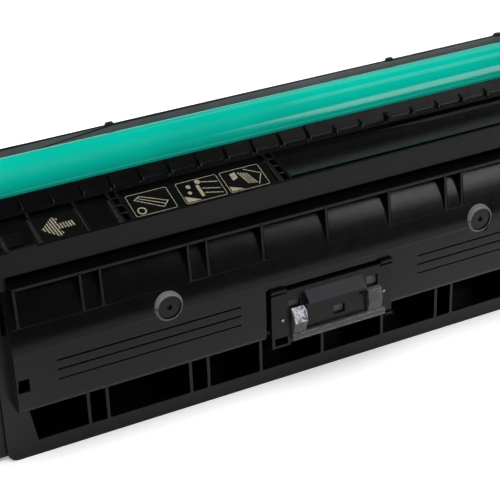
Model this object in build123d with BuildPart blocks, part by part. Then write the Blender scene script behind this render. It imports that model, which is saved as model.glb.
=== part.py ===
"""Toner cartridge of a colour laser printer with its imaging drum and rollers inside."""
import math
import os

from build123d import *

os.makedirs("parts", exist_ok=True)

# Overall sizes, in mm. X runs along the cartridge, Y from front to back, Z up.
# The origin is the middle of the flat face the cartridge rests on.
BASE_DEPTH = 58.0
BODY_HALF = 149.0
PLATE_HALF = BODY_HALF + 7.0
COVER_HALF = BODY_HALF + 2.0
CAP_DEPTH = 17.0
CAP_FACE = BODY_HALF + CAP_DEPTH
ROOF = 85.7
WALL = 2.0
RUNNING_GAP = 0.05
ROLLER_GAP = 0.3

# Front plate with its row of windows
PLATE_T = 2.0
SIDE_STRIP_TOP = ROOF - 1.7
PLATE_TOP = ROOF - 21.7
PLATE_CORNER = 5.0
WINDOW_BOTTOM = 7.6
WINDOW_TOP = 31.0
WINDOW_HALF_LOW = BODY_HALF - 7.5
WINDOW_HALF_TOP = BODY_HALF - 3.8
RIB_T = 1.6
RIB_X = (-117.2, -108.3, -67.8, -59.0, -32.3, 0.0, 32.5, 62.9, 71.8, 108.2, 117.0)
POCKET_DEPTH = 18.0
POCKET_BACK = POCKET_DEPTH + WALL

# Front cover: bulged wall, lip, gussets and grooves
COVER_BOTTOM = 28.4
COVER_FACE = -9.2
LIP_FRONT = -4.1
LIP_LOW = ROOF
LIP_T = 1.5
GUSSET_T = 1.4
END_GUSSET_X = COVER_HALF - 4.8
LIP_HALF = END_GUSSET_X + GUSSET_T / 2
GUSSET_TIP = LIP_LOW - 17.1
GROOVE_Z = (51.2, 46.6, 41.8)
GROOVE_NEAR = 46.0
GROOVE_FAR = COVER_HALF - 18.5
GROOVE_W = 0.8
GROOVE_DEPTH = 0.7
SIDE_HOLE_X = COVER_HALF - 3.1
SIDE_HOLE_Z = 43.0
BOSS_X = 80.0
BOSS_Z = LIP_LOW - 24.3
BOSS_R = 6.5
BOSS_FACE = -9.9
BOSS_ROUND = 1.0
PLUG_R = 5.1
PLUG_SEAT = -7.6
PLUG_SUNK = 0.5
DIMPLE_R = 1.3
DIMPLE_DEPTH = 1.2
CHIP_WINDOW_LEFT = -33.4
CHIP_WINDOW_RIGHT = 31.5
CHIP_WINDOW_TOP = 55.2
FACE_LOW = 31.9
FACE_HIGH = LIP_LOW - 27.7
FACE_MIDDLE = (FACE_LOW + FACE_HIGH) / 2

# Hopper
HOPPER_MOUTH = 38.0
HOPPER_BACK = 62.0
CHEEK_TOP = ROOF + 10.3
FILL_Y = 37.0
FILL_Z = 23.0
FILL_R = 10.0

# Upper tray, which slopes up to the back
TRAY_SLOT = 2.3
TRAY_LOW = LIP_LOW + LIP_T + TRAY_SLOT
BAND_TOP = TRAY_LOW + 10.6
BAND_Y = 3.0
TRAY_SLOPE = 0.21
DIVIDER_T = 1.2
DIVIDER_STEPS = (5.3, 20.5, 41.3, 56.8, 60.8, 132.4, 136.4)
DIVIDER_X = [step - BODY_HALF for step in DIVIDER_STEPS]
TRAY_END = BODY_HALF - 1.2
RIM_FAR = 17.2
RIM_HEIGHT = 0.8
SKIN_BACK = 4.6
SKIN_LOW = ROOF - 6.7
SKIN_GAP = 0.3
RECESS_FRONT = 4.2
FLOOR_FRONT_Z = BAND_TOP - 3.5
FLOOR_RISE_Y = 22.0
FLOOR_RISE_Z = BAND_TOP + 1.9
FIN_INSET = 19.8
FIN_FIRST = FIN_INSET - BODY_HALF
FIN_PITCH = 13.87
FIN_COUNT = int((2 * BODY_HALF - 1.5 * FIN_INSET) / FIN_PITCH) + 1
FIN_T = 1.0
BIG_FIN = 13
RUNG_Y = (9.6, 14.9, 20.2)
RUNG_T = 1.2

# Drum and rollers: centres in the cross section (Y from the front plate, Z from the floor)
DRUM_Y = 47.0
DRUM_Z = ROOF + 22.3
DRUM_R = 12.0
DRUM_WALL = 1.0
DRUM_END_GAP = 2.0
DRUM_HALF = BODY_HALF - DRUM_END_GAP
MODULE = 1.0
DRUM_TEETH = 28
DEV_TEETH = 12
DEV_OUT_TEETH = 14
SUPPLY_TEETH = 16
STIR_TEETH = 36
DRUM_TO_DEV = -85.0
DEV_TO_SUPPLY = -130.0
SUPPLY_TO_STIR = -125.0
CHARGE_ANGLE = -150.0
CHARGE_R = 4.5
CHARGE_SHAFT_R = 2.5
CHEEK_T = 3.0
DEV_SHAFT_R = 4.0
SUPPLY_SHAFT_R = 3.0
STIR_SHAFT_R = 3.0
STIR_REACH = 17.5
ROLLER_END_GAP = 4.0
ROLLER_HALF = BODY_HALF - WALL - ROLLER_END_GAP
BLADE_SCREW_INSET = 23.0
BUSH_T = 2.0
GEAR_END_GAP = 2.0
GEAR_IN_X = BODY_HALF + GEAR_END_GAP
GEAR_IN_W = 5.0
GEAR_OUT_X = GEAR_IN_X + GEAR_IN_W + GEAR_END_GAP
GEAR_OUT_W = 4.0
PRESSURE_ANGLE = 20.0
BACKLASH = 0.3
ADDENDUM = 0.75
DEDENDUM = 1.2


def step_out(start, angle, distance):
    """Point at a distance and angle from another point of the cross section."""
    turn = math.radians(angle)
    return (start[0] + distance * math.cos(turn), start[1] + distance * math.sin(turn))


DRUM_AT = (DRUM_Y, DRUM_Z)
DEV_AT = step_out(DRUM_AT, DRUM_TO_DEV, MODULE * (DRUM_TEETH + DEV_TEETH) / 2)
SUPPLY_AT = step_out(DEV_AT, DEV_TO_SUPPLY, MODULE * (DEV_OUT_TEETH + SUPPLY_TEETH) / 2)
STIR_AT = step_out(SUPPLY_AT, SUPPLY_TO_STIR, MODULE * (SUPPLY_TEETH + STIR_TEETH) / 2)
CHARGE_AT = step_out(DRUM_AT, CHARGE_ANGLE, DRUM_R + CHARGE_R + ROLLER_GAP)
DEV_R = MODULE * (DRUM_TEETH + DEV_TEETH) / 2 - DRUM_R - ROLLER_GAP
SUPPLY_R = MODULE * (DEV_OUT_TEETH + SUPPLY_TEETH) / 2 - DEV_R - ROLLER_GAP


def across(x):
    """Cross-section plane at x: first axis to the back, second axis up."""
    return Plane(origin=(x, -BASE_DEPTH / 2, 0), x_dir=(0, 1, 0), z_dir=(1, 0, 0))


def facing(y):
    """Upright plane seen from the front: first axis along the cartridge, second axis up."""
    return Plane(origin=(0, y - BASE_DEPTH / 2, 0), x_dir=(1, 0, 0), z_dir=(0, -1, 0))


def tray_top(y):
    """Height of the sloping tray rim at a depth y behind the front plate."""
    return BAND_TOP + TRAY_SLOPE * (y - BAND_Y)


def tray_floor(y):
    """Height of the floor of the tray compartments at a depth y."""
    return FLOOR_FRONT_Z + (y - RECESS_FRONT) * (FLOOR_RISE_Z - FLOOR_FRONT_Z) / (FLOOR_RISE_Y - RECESS_FRONT)


def profile(points, x0, x1, mode=Mode.ADD):
    """Straight bar with a polygon as its cross section, from x0 to x1."""
    with BuildSketch(across(x0)) as section:
        with BuildLine():
            Polyline(*points, close=True)
        make_face()
    extrude(to_extrude=section.sketch, amount=x1 - x0, mode=mode)


def rod(at, radius, x0, x1, mode=Mode.ADD):
    """Round bar along X about a centre in the cross section."""
    with BuildSketch(across(x0)) as section:
        with Locations(at):
            Circle(radius)
    extrude(to_extrude=section.sketch, amount=x1 - x0, mode=mode)


def block(x0, x1, y0, y1, z0, z1, mode=Mode.ADD):
    """Plain box given by its corners."""
    profile(((y0, z0), (y1, z0), (y1, z1), (y0, z1)), x0, x1, mode)


def gear_outline(teeth, phase):
    """Involute tooth outline about the origin; phase turns one tooth to that angle."""
    pitch_r = MODULE * teeth / 2
    pressure = math.radians(PRESSURE_ANGLE)
    base_r = pitch_r * math.cos(pressure)
    half = math.pi / (2 * teeth) - BACKLASH / (2 * pitch_r)
    radii = (pitch_r - DEDENDUM * MODULE, pitch_r, pitch_r + ADDENDUM * MODULE)
    widths = []
    for radius in radii:
        lean = math.acos(min(1.0, base_r / radius))
        widths.append(half + math.tan(pressure) - pressure - math.tan(lean) + lean)
    points = []
    for tooth in range(teeth):
        middle = math.radians(phase) + 2 * math.pi * tooth / teeth
        for radius, width in zip(radii, widths):
            points.append((radius * math.cos(middle - width), radius * math.sin(middle - width)))
        for radius, width in zip(radii[::-1], widths[::-1]):
            points.append((radius * math.cos(middle + width), radius * math.sin(middle + width)))
    return points


def mesh_phase(phase, teeth, direction, other_teeth):
    """Phase of a gear whose gap meets the tooth of its neighbour in that direction."""
    shift = (direction - phase) % (360 / teeth)
    return direction + 180 + shift * teeth / other_teeth + 180 / other_teeth


def toothed_wheel(at, teeth, phase, x0, x1):
    """Spur gear along X about a centre in the cross section."""
    points = [(at[0] + y, at[1] + z) for y, z in gear_outline(teeth, phase)]
    profile(points, x0, x1)


DRUM_PHASE = 0.0
DEV_PHASE = mesh_phase(DRUM_PHASE, DRUM_TEETH, DRUM_TO_DEV, DEV_TEETH)
SUPPLY_PHASE = mesh_phase(DEV_PHASE, DEV_OUT_TEETH, DEV_TO_SUPPLY, SUPPLY_TEETH)
STIR_PHASE = mesh_phase(SUPPLY_PHASE, SUPPLY_TEETH, SUPPLY_TO_STIR, STIR_TEETH)
SLOPE_UP = (0.84, 0.543)
CAP_SCREWS = ((50.0, 12.0), (52.0, ROOF - 25.7), (13.0, TRAY_LOW + 5.0))

# Base frame: front plate, floor and the pockets behind the windows
with BuildPart() as base_frame:
    with BuildSketch(facing(PLATE_T)) as plate_face:
        with BuildLine():
            Polyline(
                (-PLATE_HALF, 0), (PLATE_HALF, 0), (PLATE_HALF, SIDE_STRIP_TOP),
                (COVER_HALF + 1, SIDE_STRIP_TOP), (COVER_HALF + 1, PLATE_TOP),
                (-COVER_HALF - 1, PLATE_TOP), (-COVER_HALF - 1, SIDE_STRIP_TOP),
                (-PLATE_HALF, SIDE_STRIP_TOP), close=True,
            )
        make_face()
        low_corners = plate_face.vertices().filter_by(lambda v: v.Y < 1)
        fillet(low_corners, PLATE_CORNER)
    extrude(amount=PLATE_T)
    with BuildSketch(facing(PLATE_T)):
        with BuildLine():
            Polyline(
                (-WINDOW_HALF_LOW, WINDOW_BOTTOM), (WINDOW_HALF_LOW, WINDOW_BOTTOM),
                (WINDOW_HALF_TOP, WINDOW_TOP), (-WINDOW_HALF_TOP, WINDOW_TOP), close=True,
            )
        make_face()
    extrude(amount=PLATE_T, mode=Mode.SUBTRACT)
    block(-BODY_HALF, BODY_HALF, PLATE_T, BASE_DEPTH, 0, WALL)
    block(-BODY_HALF, BODY_HALF, POCKET_DEPTH, POCKET_BACK, WALL, WINDOW_TOP)
    block(-BODY_HALF, -WINDOW_HALF_TOP - 1, PLATE_T, POCKET_DEPTH, WALL, WINDOW_TOP)
    block(WINDOW_HALF_TOP + 1, BODY_HALF, PLATE_T, POCKET_DEPTH, WALL, WINDOW_TOP)
    for rib in RIB_X:
        block(rib - RIB_T / 2, rib + RIB_T / 2, 0, POCKET_DEPTH, WALL, WINDOW_TOP)
    # Screw holes for the front cover
    with BuildSketch(facing(PLATE_T)):
        with Locations((BOSS_X, BOSS_Z - 1.0), (-BOSS_X, BOSS_Z - 1.0)):
            Circle(2.0)
    extrude(amount=PLATE_T, mode=Mode.SUBTRACT)
base_frame.part.label = "base_frame"
export_step(base_frame.part, "parts/base_frame.step")

# Hopper: toner container with end walls that carry the rollers
with BuildPart() as hopper:
    profile(
        ((POCKET_BACK, WALL), (BASE_DEPTH, WALL), (BASE_DEPTH, ROOF - 17.7), (HOPPER_BACK, ROOF - 9.7),
         (HOPPER_BACK, ROOF + 4.3), (HOPPER_MOUTH, ROOF + 4.3), (HOPPER_MOUTH, ROOF), (11.5, ROOF),
         (11.5, ROOF - 3.7), (PLATE_T, PLATE_TOP), (PLATE_T, WINDOW_TOP),
         (POCKET_BACK, WINDOW_TOP)),
        -BODY_HALF, BODY_HALF,
    )
    profile(
        ((POCKET_BACK + WALL, 4), (BASE_DEPTH - 2, 4), (BASE_DEPTH - 2, ROOF - 16.9), (HOPPER_BACK - 2, ROOF - 8.9),
         (HOPPER_BACK - 2, ROOF + 6.3), (40, ROOF + 6.3), (40, ROOF - 2), (13.5, ROOF - 2),
         (13.5, ROOF - 4.3), (4, PLATE_TOP - 0.6), (4, WINDOW_TOP + 2),
         (POCKET_BACK + WALL, WINDOW_TOP + 2)),
        -BODY_HALF + WALL, BODY_HALF - WALL, Mode.SUBTRACT,
    )
    for end in (-BODY_HALF, BODY_HALF - WALL):
        block(end, end + WALL, HOPPER_MOUTH, HOPPER_BACK, ROOF + 4.3, CHEEK_TOP)
    rod(DEV_AT, DEV_SHAFT_R + BUSH_T, -BODY_HALF, BODY_HALF, Mode.SUBTRACT)
    rod(SUPPLY_AT, SUPPLY_SHAFT_R + BUSH_T, -BODY_HALF, BODY_HALF, Mode.SUBTRACT)
    rod(STIR_AT, STIR_SHAFT_R + BUSH_T, -BODY_HALF, BODY_HALF, Mode.SUBTRACT)
    rod((FILL_Y, FILL_Z), FILL_R, -BODY_HALF, -BODY_HALF + WALL, Mode.SUBTRACT)
hopper.part.label = "hopper"
export_step(hopper.part, "parts/hopper.step")

# Fill cap: round plug in the left end wall of the hopper
with BuildPart() as fill_cap:
    rod((FILL_Y, FILL_Z), FILL_R, -BODY_HALF, -BODY_HALF + WALL)
    rod((FILL_Y, FILL_Z), FILL_R + 2, -BODY_HALF - 1.2, -BODY_HALF)
    rod((FILL_Y, FILL_Z), FILL_R - 3, -BODY_HALF - 1.2, -BODY_HALF + 0.6, Mode.SUBTRACT)
fill_cap.part.label = "fill_cap"
export_step(fill_cap.part, "parts/fill_cap.step")

# Front cover: bulged wall with the lip, the gussets, the grooves and two screw bosses
with BuildPart() as front_cover:
    with BuildSketch(across(-COVER_HALF)) as cover_section:
        with BuildLine():
            Line((8.0, LIP_LOW), (10.0, LIP_LOW))
            ThreePointArc((10.0, LIP_LOW), (6.4, LIP_LOW - 9.3), (-2.2, LIP_LOW - 16.9))
            ThreePointArc((-2.2, LIP_LOW - 16.9), (-6.0, LIP_LOW - 21.5), (-7.2, FACE_HIGH))
            Polyline((-7.2, FACE_HIGH), (-7.2, FACE_MIDDLE), (-6.8, FACE_LOW))
            ThreePointArc((-6.8, FACE_LOW), (-6.36, 30.84), (-5.3, 30.4))
            Polyline((-5.3, 30.4), (0, 30.4), (0, COVER_BOTTOM), (-5.3, COVER_BOTTOM))
            ThreePointArc((-5.3, COVER_BOTTOM), (-7.77, 29.43), (-8.8, FACE_LOW))
            Polyline((-8.8, FACE_LOW), (COVER_FACE, FACE_MIDDLE), (COVER_FACE, FACE_HIGH))
            ThreePointArc((COVER_FACE, FACE_HIGH), (-7.8, LIP_LOW - 20.4), (-3.4, LIP_LOW - 15.3))
            ThreePointArc((-3.4, LIP_LOW - 15.3), (4.6, LIP_LOW - 8.3), (8.0, LIP_LOW))
        make_face()
    extrude(to_extrude=cover_section.sketch, amount=2 * COVER_HALF)
    lip = ((LIP_FRONT, LIP_LOW), (10.0, LIP_LOW), (12.0, LIP_LOW + LIP_T), (LIP_FRONT, LIP_LOW + LIP_T))
    profile(lip, -LIP_HALF, LIP_HALF)
    for side in (-COVER_HALF, COVER_HALF - 1.6):
        with BuildSketch(across(side)) as cover_end:
            with BuildLine():
                Polyline((-5.3, 29.4), (0, 29.4), (0, LIP_LOW - 18.3), (-2.6, LIP_LOW - 16.3))
                ThreePointArc((-2.6, LIP_LOW - 16.3), (-6.9, LIP_LOW - 20.9), (-8.2, FACE_HIGH))
                Polyline((-8.2, FACE_HIGH), (-8.2, FACE_MIDDLE), (-7.8, FACE_LOW), (-5.3, 29.4))
            make_face()
        extrude(to_extrude=cover_end.sketch, amount=1.6)
    # Gussets under the lip, in line with the ribs of the base frame
    gusset = (
        (9.0, LIP_LOW + 0.5), (LIP_FRONT - 0.1, LIP_LOW + 0.5), (-4.85, GUSSET_TIP), (-2.9, GUSSET_TIP + 0.8),
        (5.4, LIP_LOW - 8.8),
    )
    for x in (-END_GUSSET_X,) + RIB_X + (END_GUSSET_X,):
        profile(gusset, x - GUSSET_T / 2, x + GUSSET_T / 2)
    # Grooves pressed into the face
    for z in GROOVE_Z:
        for x0, x1 in ((-GROOVE_FAR, -GROOVE_NEAR), (GROOVE_NEAR, GROOVE_FAR)):
            groove_z = (z - GROOVE_W / 2, z + GROOVE_W / 2)
            block(x0, x1, COVER_FACE - 1, COVER_FACE + GROOVE_DEPTH, *groove_z, Mode.SUBTRACT)
    # Square holes near both ends
    for x in (-SIDE_HOLE_X, SIDE_HOLE_X):
        block(x - 2.6, x + 2.6, COVER_FACE - 1, -7.0, SIDE_HOLE_Z - 3.1, SIDE_HOLE_Z + 3.1, Mode.SUBTRACT)
    # Window for the chip holder
    block(CHIP_WINDOW_LEFT, CHIP_WINDOW_RIGHT, COVER_FACE - 1, -3.0, 20, CHIP_WINDOW_TOP, Mode.SUBTRACT)
    # Screw bosses: turned section with a rounded rim, and a bore for the plug
    for x in (-BOSS_X, BOSS_X):
        rim_z = BOSS_Z + BOSS_R
        corner = BOSS_ROUND * (1 - math.sqrt(0.5))
        with BuildSketch(across(x)) as boss_section:
            with BuildLine():
                Polyline((BOSS_FACE, rim_z - BOSS_ROUND), (BOSS_FACE, BOSS_Z), (0, BOSS_Z), (0, rim_z),
                         (BOSS_FACE + BOSS_ROUND, rim_z))
                ThreePointArc((BOSS_FACE + BOSS_ROUND, rim_z), (BOSS_FACE + corner, rim_z - corner),
                              (BOSS_FACE, rim_z - BOSS_ROUND))
            make_face()
        revolve(profiles=boss_section.sketch, axis=Axis((x, 0, BOSS_Z), (0, 1, 0)))
        with BuildSketch(facing(PLUG_SEAT)) as bore:
            with Locations((x, BOSS_Z)):
                Circle(PLUG_R)
        extrude(to_extrude=bore.sketch, amount=8, mode=Mode.SUBTRACT)
front_cover.part.label = "front_cover"
export_step(front_cover.part, "parts/front_cover.step")

# Cover plugs: round inserts with a small recess, one in each boss
with BuildPart() as cover_plugs:
    for x in (-BOSS_X, BOSS_X):
        with BuildSketch(facing(PLUG_SEAT)) as plug:
            with Locations((x, BOSS_Z)):
                Circle(PLUG_R)
        extrude(to_extrude=plug.sketch, amount=PLUG_SEAT - BOSS_FACE - PLUG_SUNK)
        with BuildSketch(facing(BOSS_FACE + PLUG_SUNK)) as dimple:
            with Locations((x, BOSS_Z)):
                Circle(DIMPLE_R)
        extrude(to_extrude=dimple.sketch, amount=-DIMPLE_DEPTH, taper=30, mode=Mode.SUBTRACT)
cover_plugs.part.label = "cover_plugs"
export_step(cover_plugs.part, "parts/cover_plugs.step")

# Upper frame: front band, tray with its compartments, ledge, sloped wall with fins
with BuildPart() as upper_frame:
    with BuildSketch(across(-BODY_HALF)) as body_section:
        with BuildLine():
            Polyline(
                (BAND_Y, BAND_TOP), (24.6, tray_top(24.6)), (27.0, tray_top(27.0)), (33.5, BAND_TOP + 9.15),
                (34.15, BAND_TOP + 8.15), (21.0, BAND_TOP - 0.35), (21.0, TRAY_LOW), (5.2, TRAY_LOW),
            )
            ThreePointArc((5.2, TRAY_LOW), (2.8, BAND_TOP - 7.5), (2.2, BAND_TOP - 3.6))
            Line((2.2, BAND_TOP - 3.6), (BAND_Y, BAND_TOP))
        make_face()
    extrude(to_extrude=body_section.sketch, amount=2 * BODY_HALF)
    # Side faces that carry the band on to the ends of the cartridge and down beside the lip
    side_face = (
        (BAND_Y, BAND_TOP), (SKIN_BACK, BAND_TOP), (SKIN_BACK, SKIN_LOW), (2.2, SKIN_LOW), (2.2, BAND_TOP - 3.6),
    )
    for x0, x1 in ((-PLATE_HALF, -LIP_HALF - SKIN_GAP), (LIP_HALF + SKIN_GAP, PLATE_HALF)):
        profile(side_face, x0, x1)
    # Waste chamber inside
    block(-BODY_HALF + WALL, BODY_HALF - WALL, 6.5, 19.2, TRAY_LOW + 1.5, TRAY_LOW + 5.5, Mode.SUBTRACT)
    # Compartments between the dividers, then the long recess on the right
    edges = [-TRAY_END] + DIVIDER_X + [TRAY_END]
    for left, right in zip(edges[:-1], edges[1:]):
        x0 = left + DIVIDER_T / 2
        x1 = right - DIVIDER_T / 2
        recess = (
            (RECESS_FRONT, BAND_TOP + 11.9), (RECESS_FRONT, FLOOR_FRONT_Z), (FLOOR_RISE_Y, FLOOR_RISE_Z),
            (25.2, BAND_TOP + 5.5), (25.2, BAND_TOP + 11.9),
        )
        profile(recess, x0, x1, Mode.SUBTRACT)
    # Raised stretch of the front rim at the end compartment
    rim_z = (BAND_TOP - 0.5, BAND_TOP + RIM_HEIGHT)
    block(DIVIDER_X[0], RIM_FAR - BODY_HALF, BAND_Y, RECESS_FRONT, *rim_z)
    # Fins on the sloped wall, one of them larger
    for count in range(FIN_COUNT):
        x = FIN_FIRST + count * FIN_PITCH
        crest = (26.4, BAND_TOP + 7.9) if count == BIG_FIN else (26.6, BAND_TOP + 6.7)
        half = FIN_T if count == BIG_FIN else FIN_T / 2
        fin = ((25.6, BAND_TOP + 3.9), crest, (33.2, BAND_TOP + 9.05), (33.6, BAND_TOP + 8.3))
        profile(fin, x - half, x + half)
    # Slots along the foot of the sloped wall, between the fins
    for count in range(FIN_COUNT - 1):
        if count in (BIG_FIN - 1, 0, 1):
            continue
        x0 = FIN_FIRST + count * FIN_PITCH + 1.6
        x1 = FIN_FIRST + (count + 1) * FIN_PITCH - 1.6
        slot = ((27.2, BAND_TOP + 6.1), (27.2, BAND_TOP + 4.4), (29.0, BAND_TOP + 5.6), (29.0, BAND_TOP + 7.3))
        profile(slot, x0, x1, Mode.SUBTRACT)
    # Cheeks that carry the charge roller
    cheek = (
        (20.9, TRAY_LOW), (33, TRAY_LOW + 2.5), (36.8, BAND_TOP - 2.6), (34.6, BAND_TOP + 3.9),
        (30.5, BAND_TOP + 5.9), (20.9, BAND_TOP - 0.3),
    )
    for x in (-BODY_HALF, BODY_HALF - CHEEK_T):
        profile(cheek, x, x + CHEEK_T)
    rod(CHARGE_AT, CHARGE_SHAFT_R + 1.5, -BODY_HALF, BODY_HALF, Mode.SUBTRACT)
upper_frame.part.label = "upper_frame"
export_step(upper_frame.part, "parts/upper_frame.step")

# Guide pad standing in the end compartment of the tray
with BuildPart() as guide_pad:
    pad = ((6.8, tray_floor(6.8)), (15, tray_floor(15)), (15, tray_top(15) - 0.6), (6.8, tray_top(6.8) - 0.6))
    profile(pad, 6.0 - BODY_HALF, 12.8 - BODY_HALF)
guide_pad.part.label = "guide_pad"
export_step(guide_pad.part, "parts/guide_pad.step")

# Ladder rungs across the two narrow slots of the tray
with BuildPart() as ladder_rungs:
    for x0, x1 in ((DIVIDER_X[3], DIVIDER_X[4]), (DIVIDER_X[5], DIVIDER_X[6])):
        for y in RUNG_Y:
            block(x0 + DIVIDER_T / 2, x1 - DIVIDER_T / 2, y, y + RUNG_T, tray_floor(y + RUNG_T), tray_top(y) - 0.5)
ladder_rungs.part.label = "ladder_rungs"
export_step(ladder_rungs.part, "parts/ladder_rungs.step")

# Marking plates lying on the floor of the tray
FLOOR_PLATE = (
    (5, tray_floor(5)), (21.6, tray_floor(21.6)), (21.6, tray_floor(21.6) + 0.5), (5, tray_floor(5) + 0.5),
)
with BuildPart() as arrow_plate:
    profile(FLOOR_PLATE, DIVIDER_X[1] + 1.2, DIVIDER_X[2] - 1.2)
arrow_plate.part.label = "arrow_plate"
export_step(arrow_plate.part, "parts/arrow_plate.step")

with BuildPart() as picture_plate:
    profile(FLOOR_PLATE, DIVIDER_X[4] + 1.2, DIVIDER_X[5] - 1.2)
picture_plate.part.label = "picture_plate"
export_step(picture_plate.part, "parts/picture_plate.step")

# Filler panel in the long recess on the right
with BuildPart() as tray_panel:
    with BuildSketch(across(DIVIDER_X[6] + DIVIDER_T / 2 + 0.3)) as panel_section:
        with BuildLine():
            Polyline(
                (5.0, tray_top(5.0)), (5.0, tray_floor(5)), (19.2, tray_floor(19.2)), (19.2, tray_top(19.2)),
                (18.2, BAND_TOP + 3.0),
            )
            ThreePointArc((18.2, BAND_TOP + 3.0), (11.6, BAND_TOP + 0.9), (5.0, tray_top(5.0)))
        make_face()
    extrude(to_extrude=panel_section.sketch, amount=TRAY_END - DIVIDER_X[6] - DIVIDER_T - 0.6)
tray_panel.part.label = "tray_panel"
export_step(tray_panel.part, "parts/tray_panel.step")

# Rear housing: back wall of the drum chamber with four small nubs on its rim
with BuildPart() as rear_housing:
    profile(
        ((62, ROOF - 7.7), (64, ROOF - 7.7), (66, ROOF - 1.7), (66, ROOF + 26.3), (64.3, ROOF + 31.5),
         (63, ROOF + 31.9), (60.3, ROOF + 25.3), (60.3, ROOF + 18.3), (61.9, ROOF + 18.3), (61.9, ROOF + 25.0),
         (63.2, ROOF + 28.7), (64.3, ROOF + 25.9), (64.3, ROOF - 1.3), (63.0, ROOF - 5.3), (62, ROOF - 5.3)),
        -BODY_HALF, BODY_HALF,
    )
    for x in (12.0 - BODY_HALF, -73.6, 73.6, BODY_HALF - 12.0):
        with BuildSketch(facing(64.2)) as nub:
            with BuildLine():
                Polyline((x - 2.6, ROOF + 30.9), (x + 2.6, ROOF + 30.9), (x + 1.6, ROOF + 32.9))
                Polyline((x + 1.6, ROOF + 32.9), (x - 1.6, ROOF + 32.9), (x - 2.6, ROOF + 30.9))
            make_face()
        extrude(to_extrude=nub.sketch, amount=1.4)
rear_housing.part.label = "rear_housing"
export_step(rear_housing.part, "parts/rear_housing.step")

# End caps: hollow shells over the gears and bearings, with posts for the screws
CAP_OUTLINE = (
    (2.2, 2.2), (60, 2.2), (68, 22), (68, DRUM_Z), (61, DRUM_Z + 11.8), (53, DRUM_Z + 17.6),
    (41, DRUM_Z + 17.6), (31, DRUM_Z + 11.0), (26, DRUM_Z - 0.6), (5.4, BAND_TOP + 2.3), (5.4, TRAY_LOW - 1.5),
    (12.4, TRAY_LOW - 1.5), (12.4, ROOF - 2.7), (2.2, PLATE_TOP - 0.6),
)


def end_cap(side):
    """Left (side -1) or right (side 1) end cap."""
    low = BODY_HALF if side > 0 else -CAP_FACE
    with BuildPart() as cap:
        profile(CAP_OUTLINE, low, low + CAP_FACE - BODY_HALF)
        with BuildSketch(across(low if side > 0 else low + WALL)) as hollow:
            with BuildLine():
                Polyline(*CAP_OUTLINE, close=True)
            make_face()
            offset(amount=-WALL, kind=Kind.INTERSECTION, mode=Mode.REPLACE)
        extrude(to_extrude=hollow.sketch, amount=CAP_FACE - BODY_HALF - WALL, mode=Mode.SUBTRACT)
        for at in CAP_SCREWS:
            rod(at, 3.6, low, low + CAP_FACE - BODY_HALF)
        for at in CAP_SCREWS:
            rod(at, SCREW_R, low, low + CAP_FACE - BODY_HALF, Mode.SUBTRACT)
        if side > 0:
            rod(DRUM_AT, HUB_R + 2.5, CAP_FACE - 5, CAP_FACE + 2.0)
            rod(DRUM_AT, HUB_R + RUNNING_GAP, CAP_FACE - 6, CAP_FACE + 3, Mode.SUBTRACT)
        else:
            rod(DRUM_AT, PIN_R + 3.0, -CAP_FACE - 3.0, -CAP_FACE + 6)
            rod(DRUM_AT, PIN_R, -CAP_FACE - 4.0, -CAP_FACE + 7, Mode.SUBTRACT)
        # Guide rib on the outer face
        face_x = CAP_FACE if side > 0 else -CAP_FACE - 1.5
        guide = ((12, ROOF - 15.7), (14.5, ROOF - 15.7), (30, ROOF + 10.3), (27.2, ROOF + 10.3))
        profile(guide, face_x, face_x + 1.5)
    return cap.part


SCREW_R = 1.5
HUB_R = 7.0
PIN_R = 3.0
cap_left = end_cap(-1)
cap_left.label = "end_cap_left"
export_step(cap_left, "parts/end_cap_left.step")
cap_right = end_cap(1)
cap_right.label = "end_cap_right"
export_step(cap_right, "parts/end_cap_right.step")

# Screws of the end caps, three at each end
with BuildPart() as cap_screws:
    for at in CAP_SCREWS:
        rod(at, SCREW_R, CAP_FACE - 12, CAP_FACE)
        rod(at, 2.9, CAP_FACE, CAP_FACE + 1.8)
        rod(at, SCREW_R, -CAP_FACE, -CAP_FACE + 12)
        rod(at, 2.9, -CAP_FACE - 1.8, -CAP_FACE)
cap_screws.part.label = "cap_screws"
export_step(cap_screws.part, "parts/cap_screws.step")

# Spring contacts on the left end cap
with BuildPart() as contact_plates:
    block(-CAP_FACE - 0.6, -CAP_FACE, 34, 44, 30, 38)
    block(-CAP_FACE - 0.6, -CAP_FACE, 46, 56, ROOF - 19.7, ROOF - 3.7)
contact_plates.part.label = "contact_plates"
export_step(contact_plates.part, "parts/contact_plates.step")


def along(start, t, side):
    """Point a distance t up the slope of the cleaning blade and a distance to its upper side."""
    return (start[0] + t * SLOPE_UP[0] - side * SLOPE_UP[1], start[1] + t * SLOPE_UP[1] + side * SLOPE_UP[0])


# Cleaning blade on its angle bracket, with two screws
BLADE_AT = (CHARGE_AT[0] - 5.55 * SLOPE_UP[1], CHARGE_AT[1] + 5.55 * SLOPE_UP[0])
with BuildPart() as cleaning_blade:
    strip = [along(BLADE_AT, t, side) for t, side in ((-7, -0.6), (5.7, -0.6), (5.7, 0.6), (-7, 0.6))]
    profile(strip, -ROLLER_HALF, ROLLER_HALF)
cleaning_blade.part.label = "cleaning_blade"
export_step(cleaning_blade.part, "parts/cleaning_blade.step")

with BuildPart() as blade_bracket:
    profile(
        ((21.0, TRAY_LOW + 1.0), (22.2, TRAY_LOW + 1.0), (22.2, BAND_TOP - 2.65), along(BLADE_AT, -4, -1.8),
         along(BLADE_AT, -4, -0.6), (21.0, BAND_TOP - 2.02)),
        -ROLLER_HALF, ROLLER_HALF,
    )
blade_bracket.part.label = "blade_bracket"
export_step(blade_bracket.part, "parts/blade_bracket.step")

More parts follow.
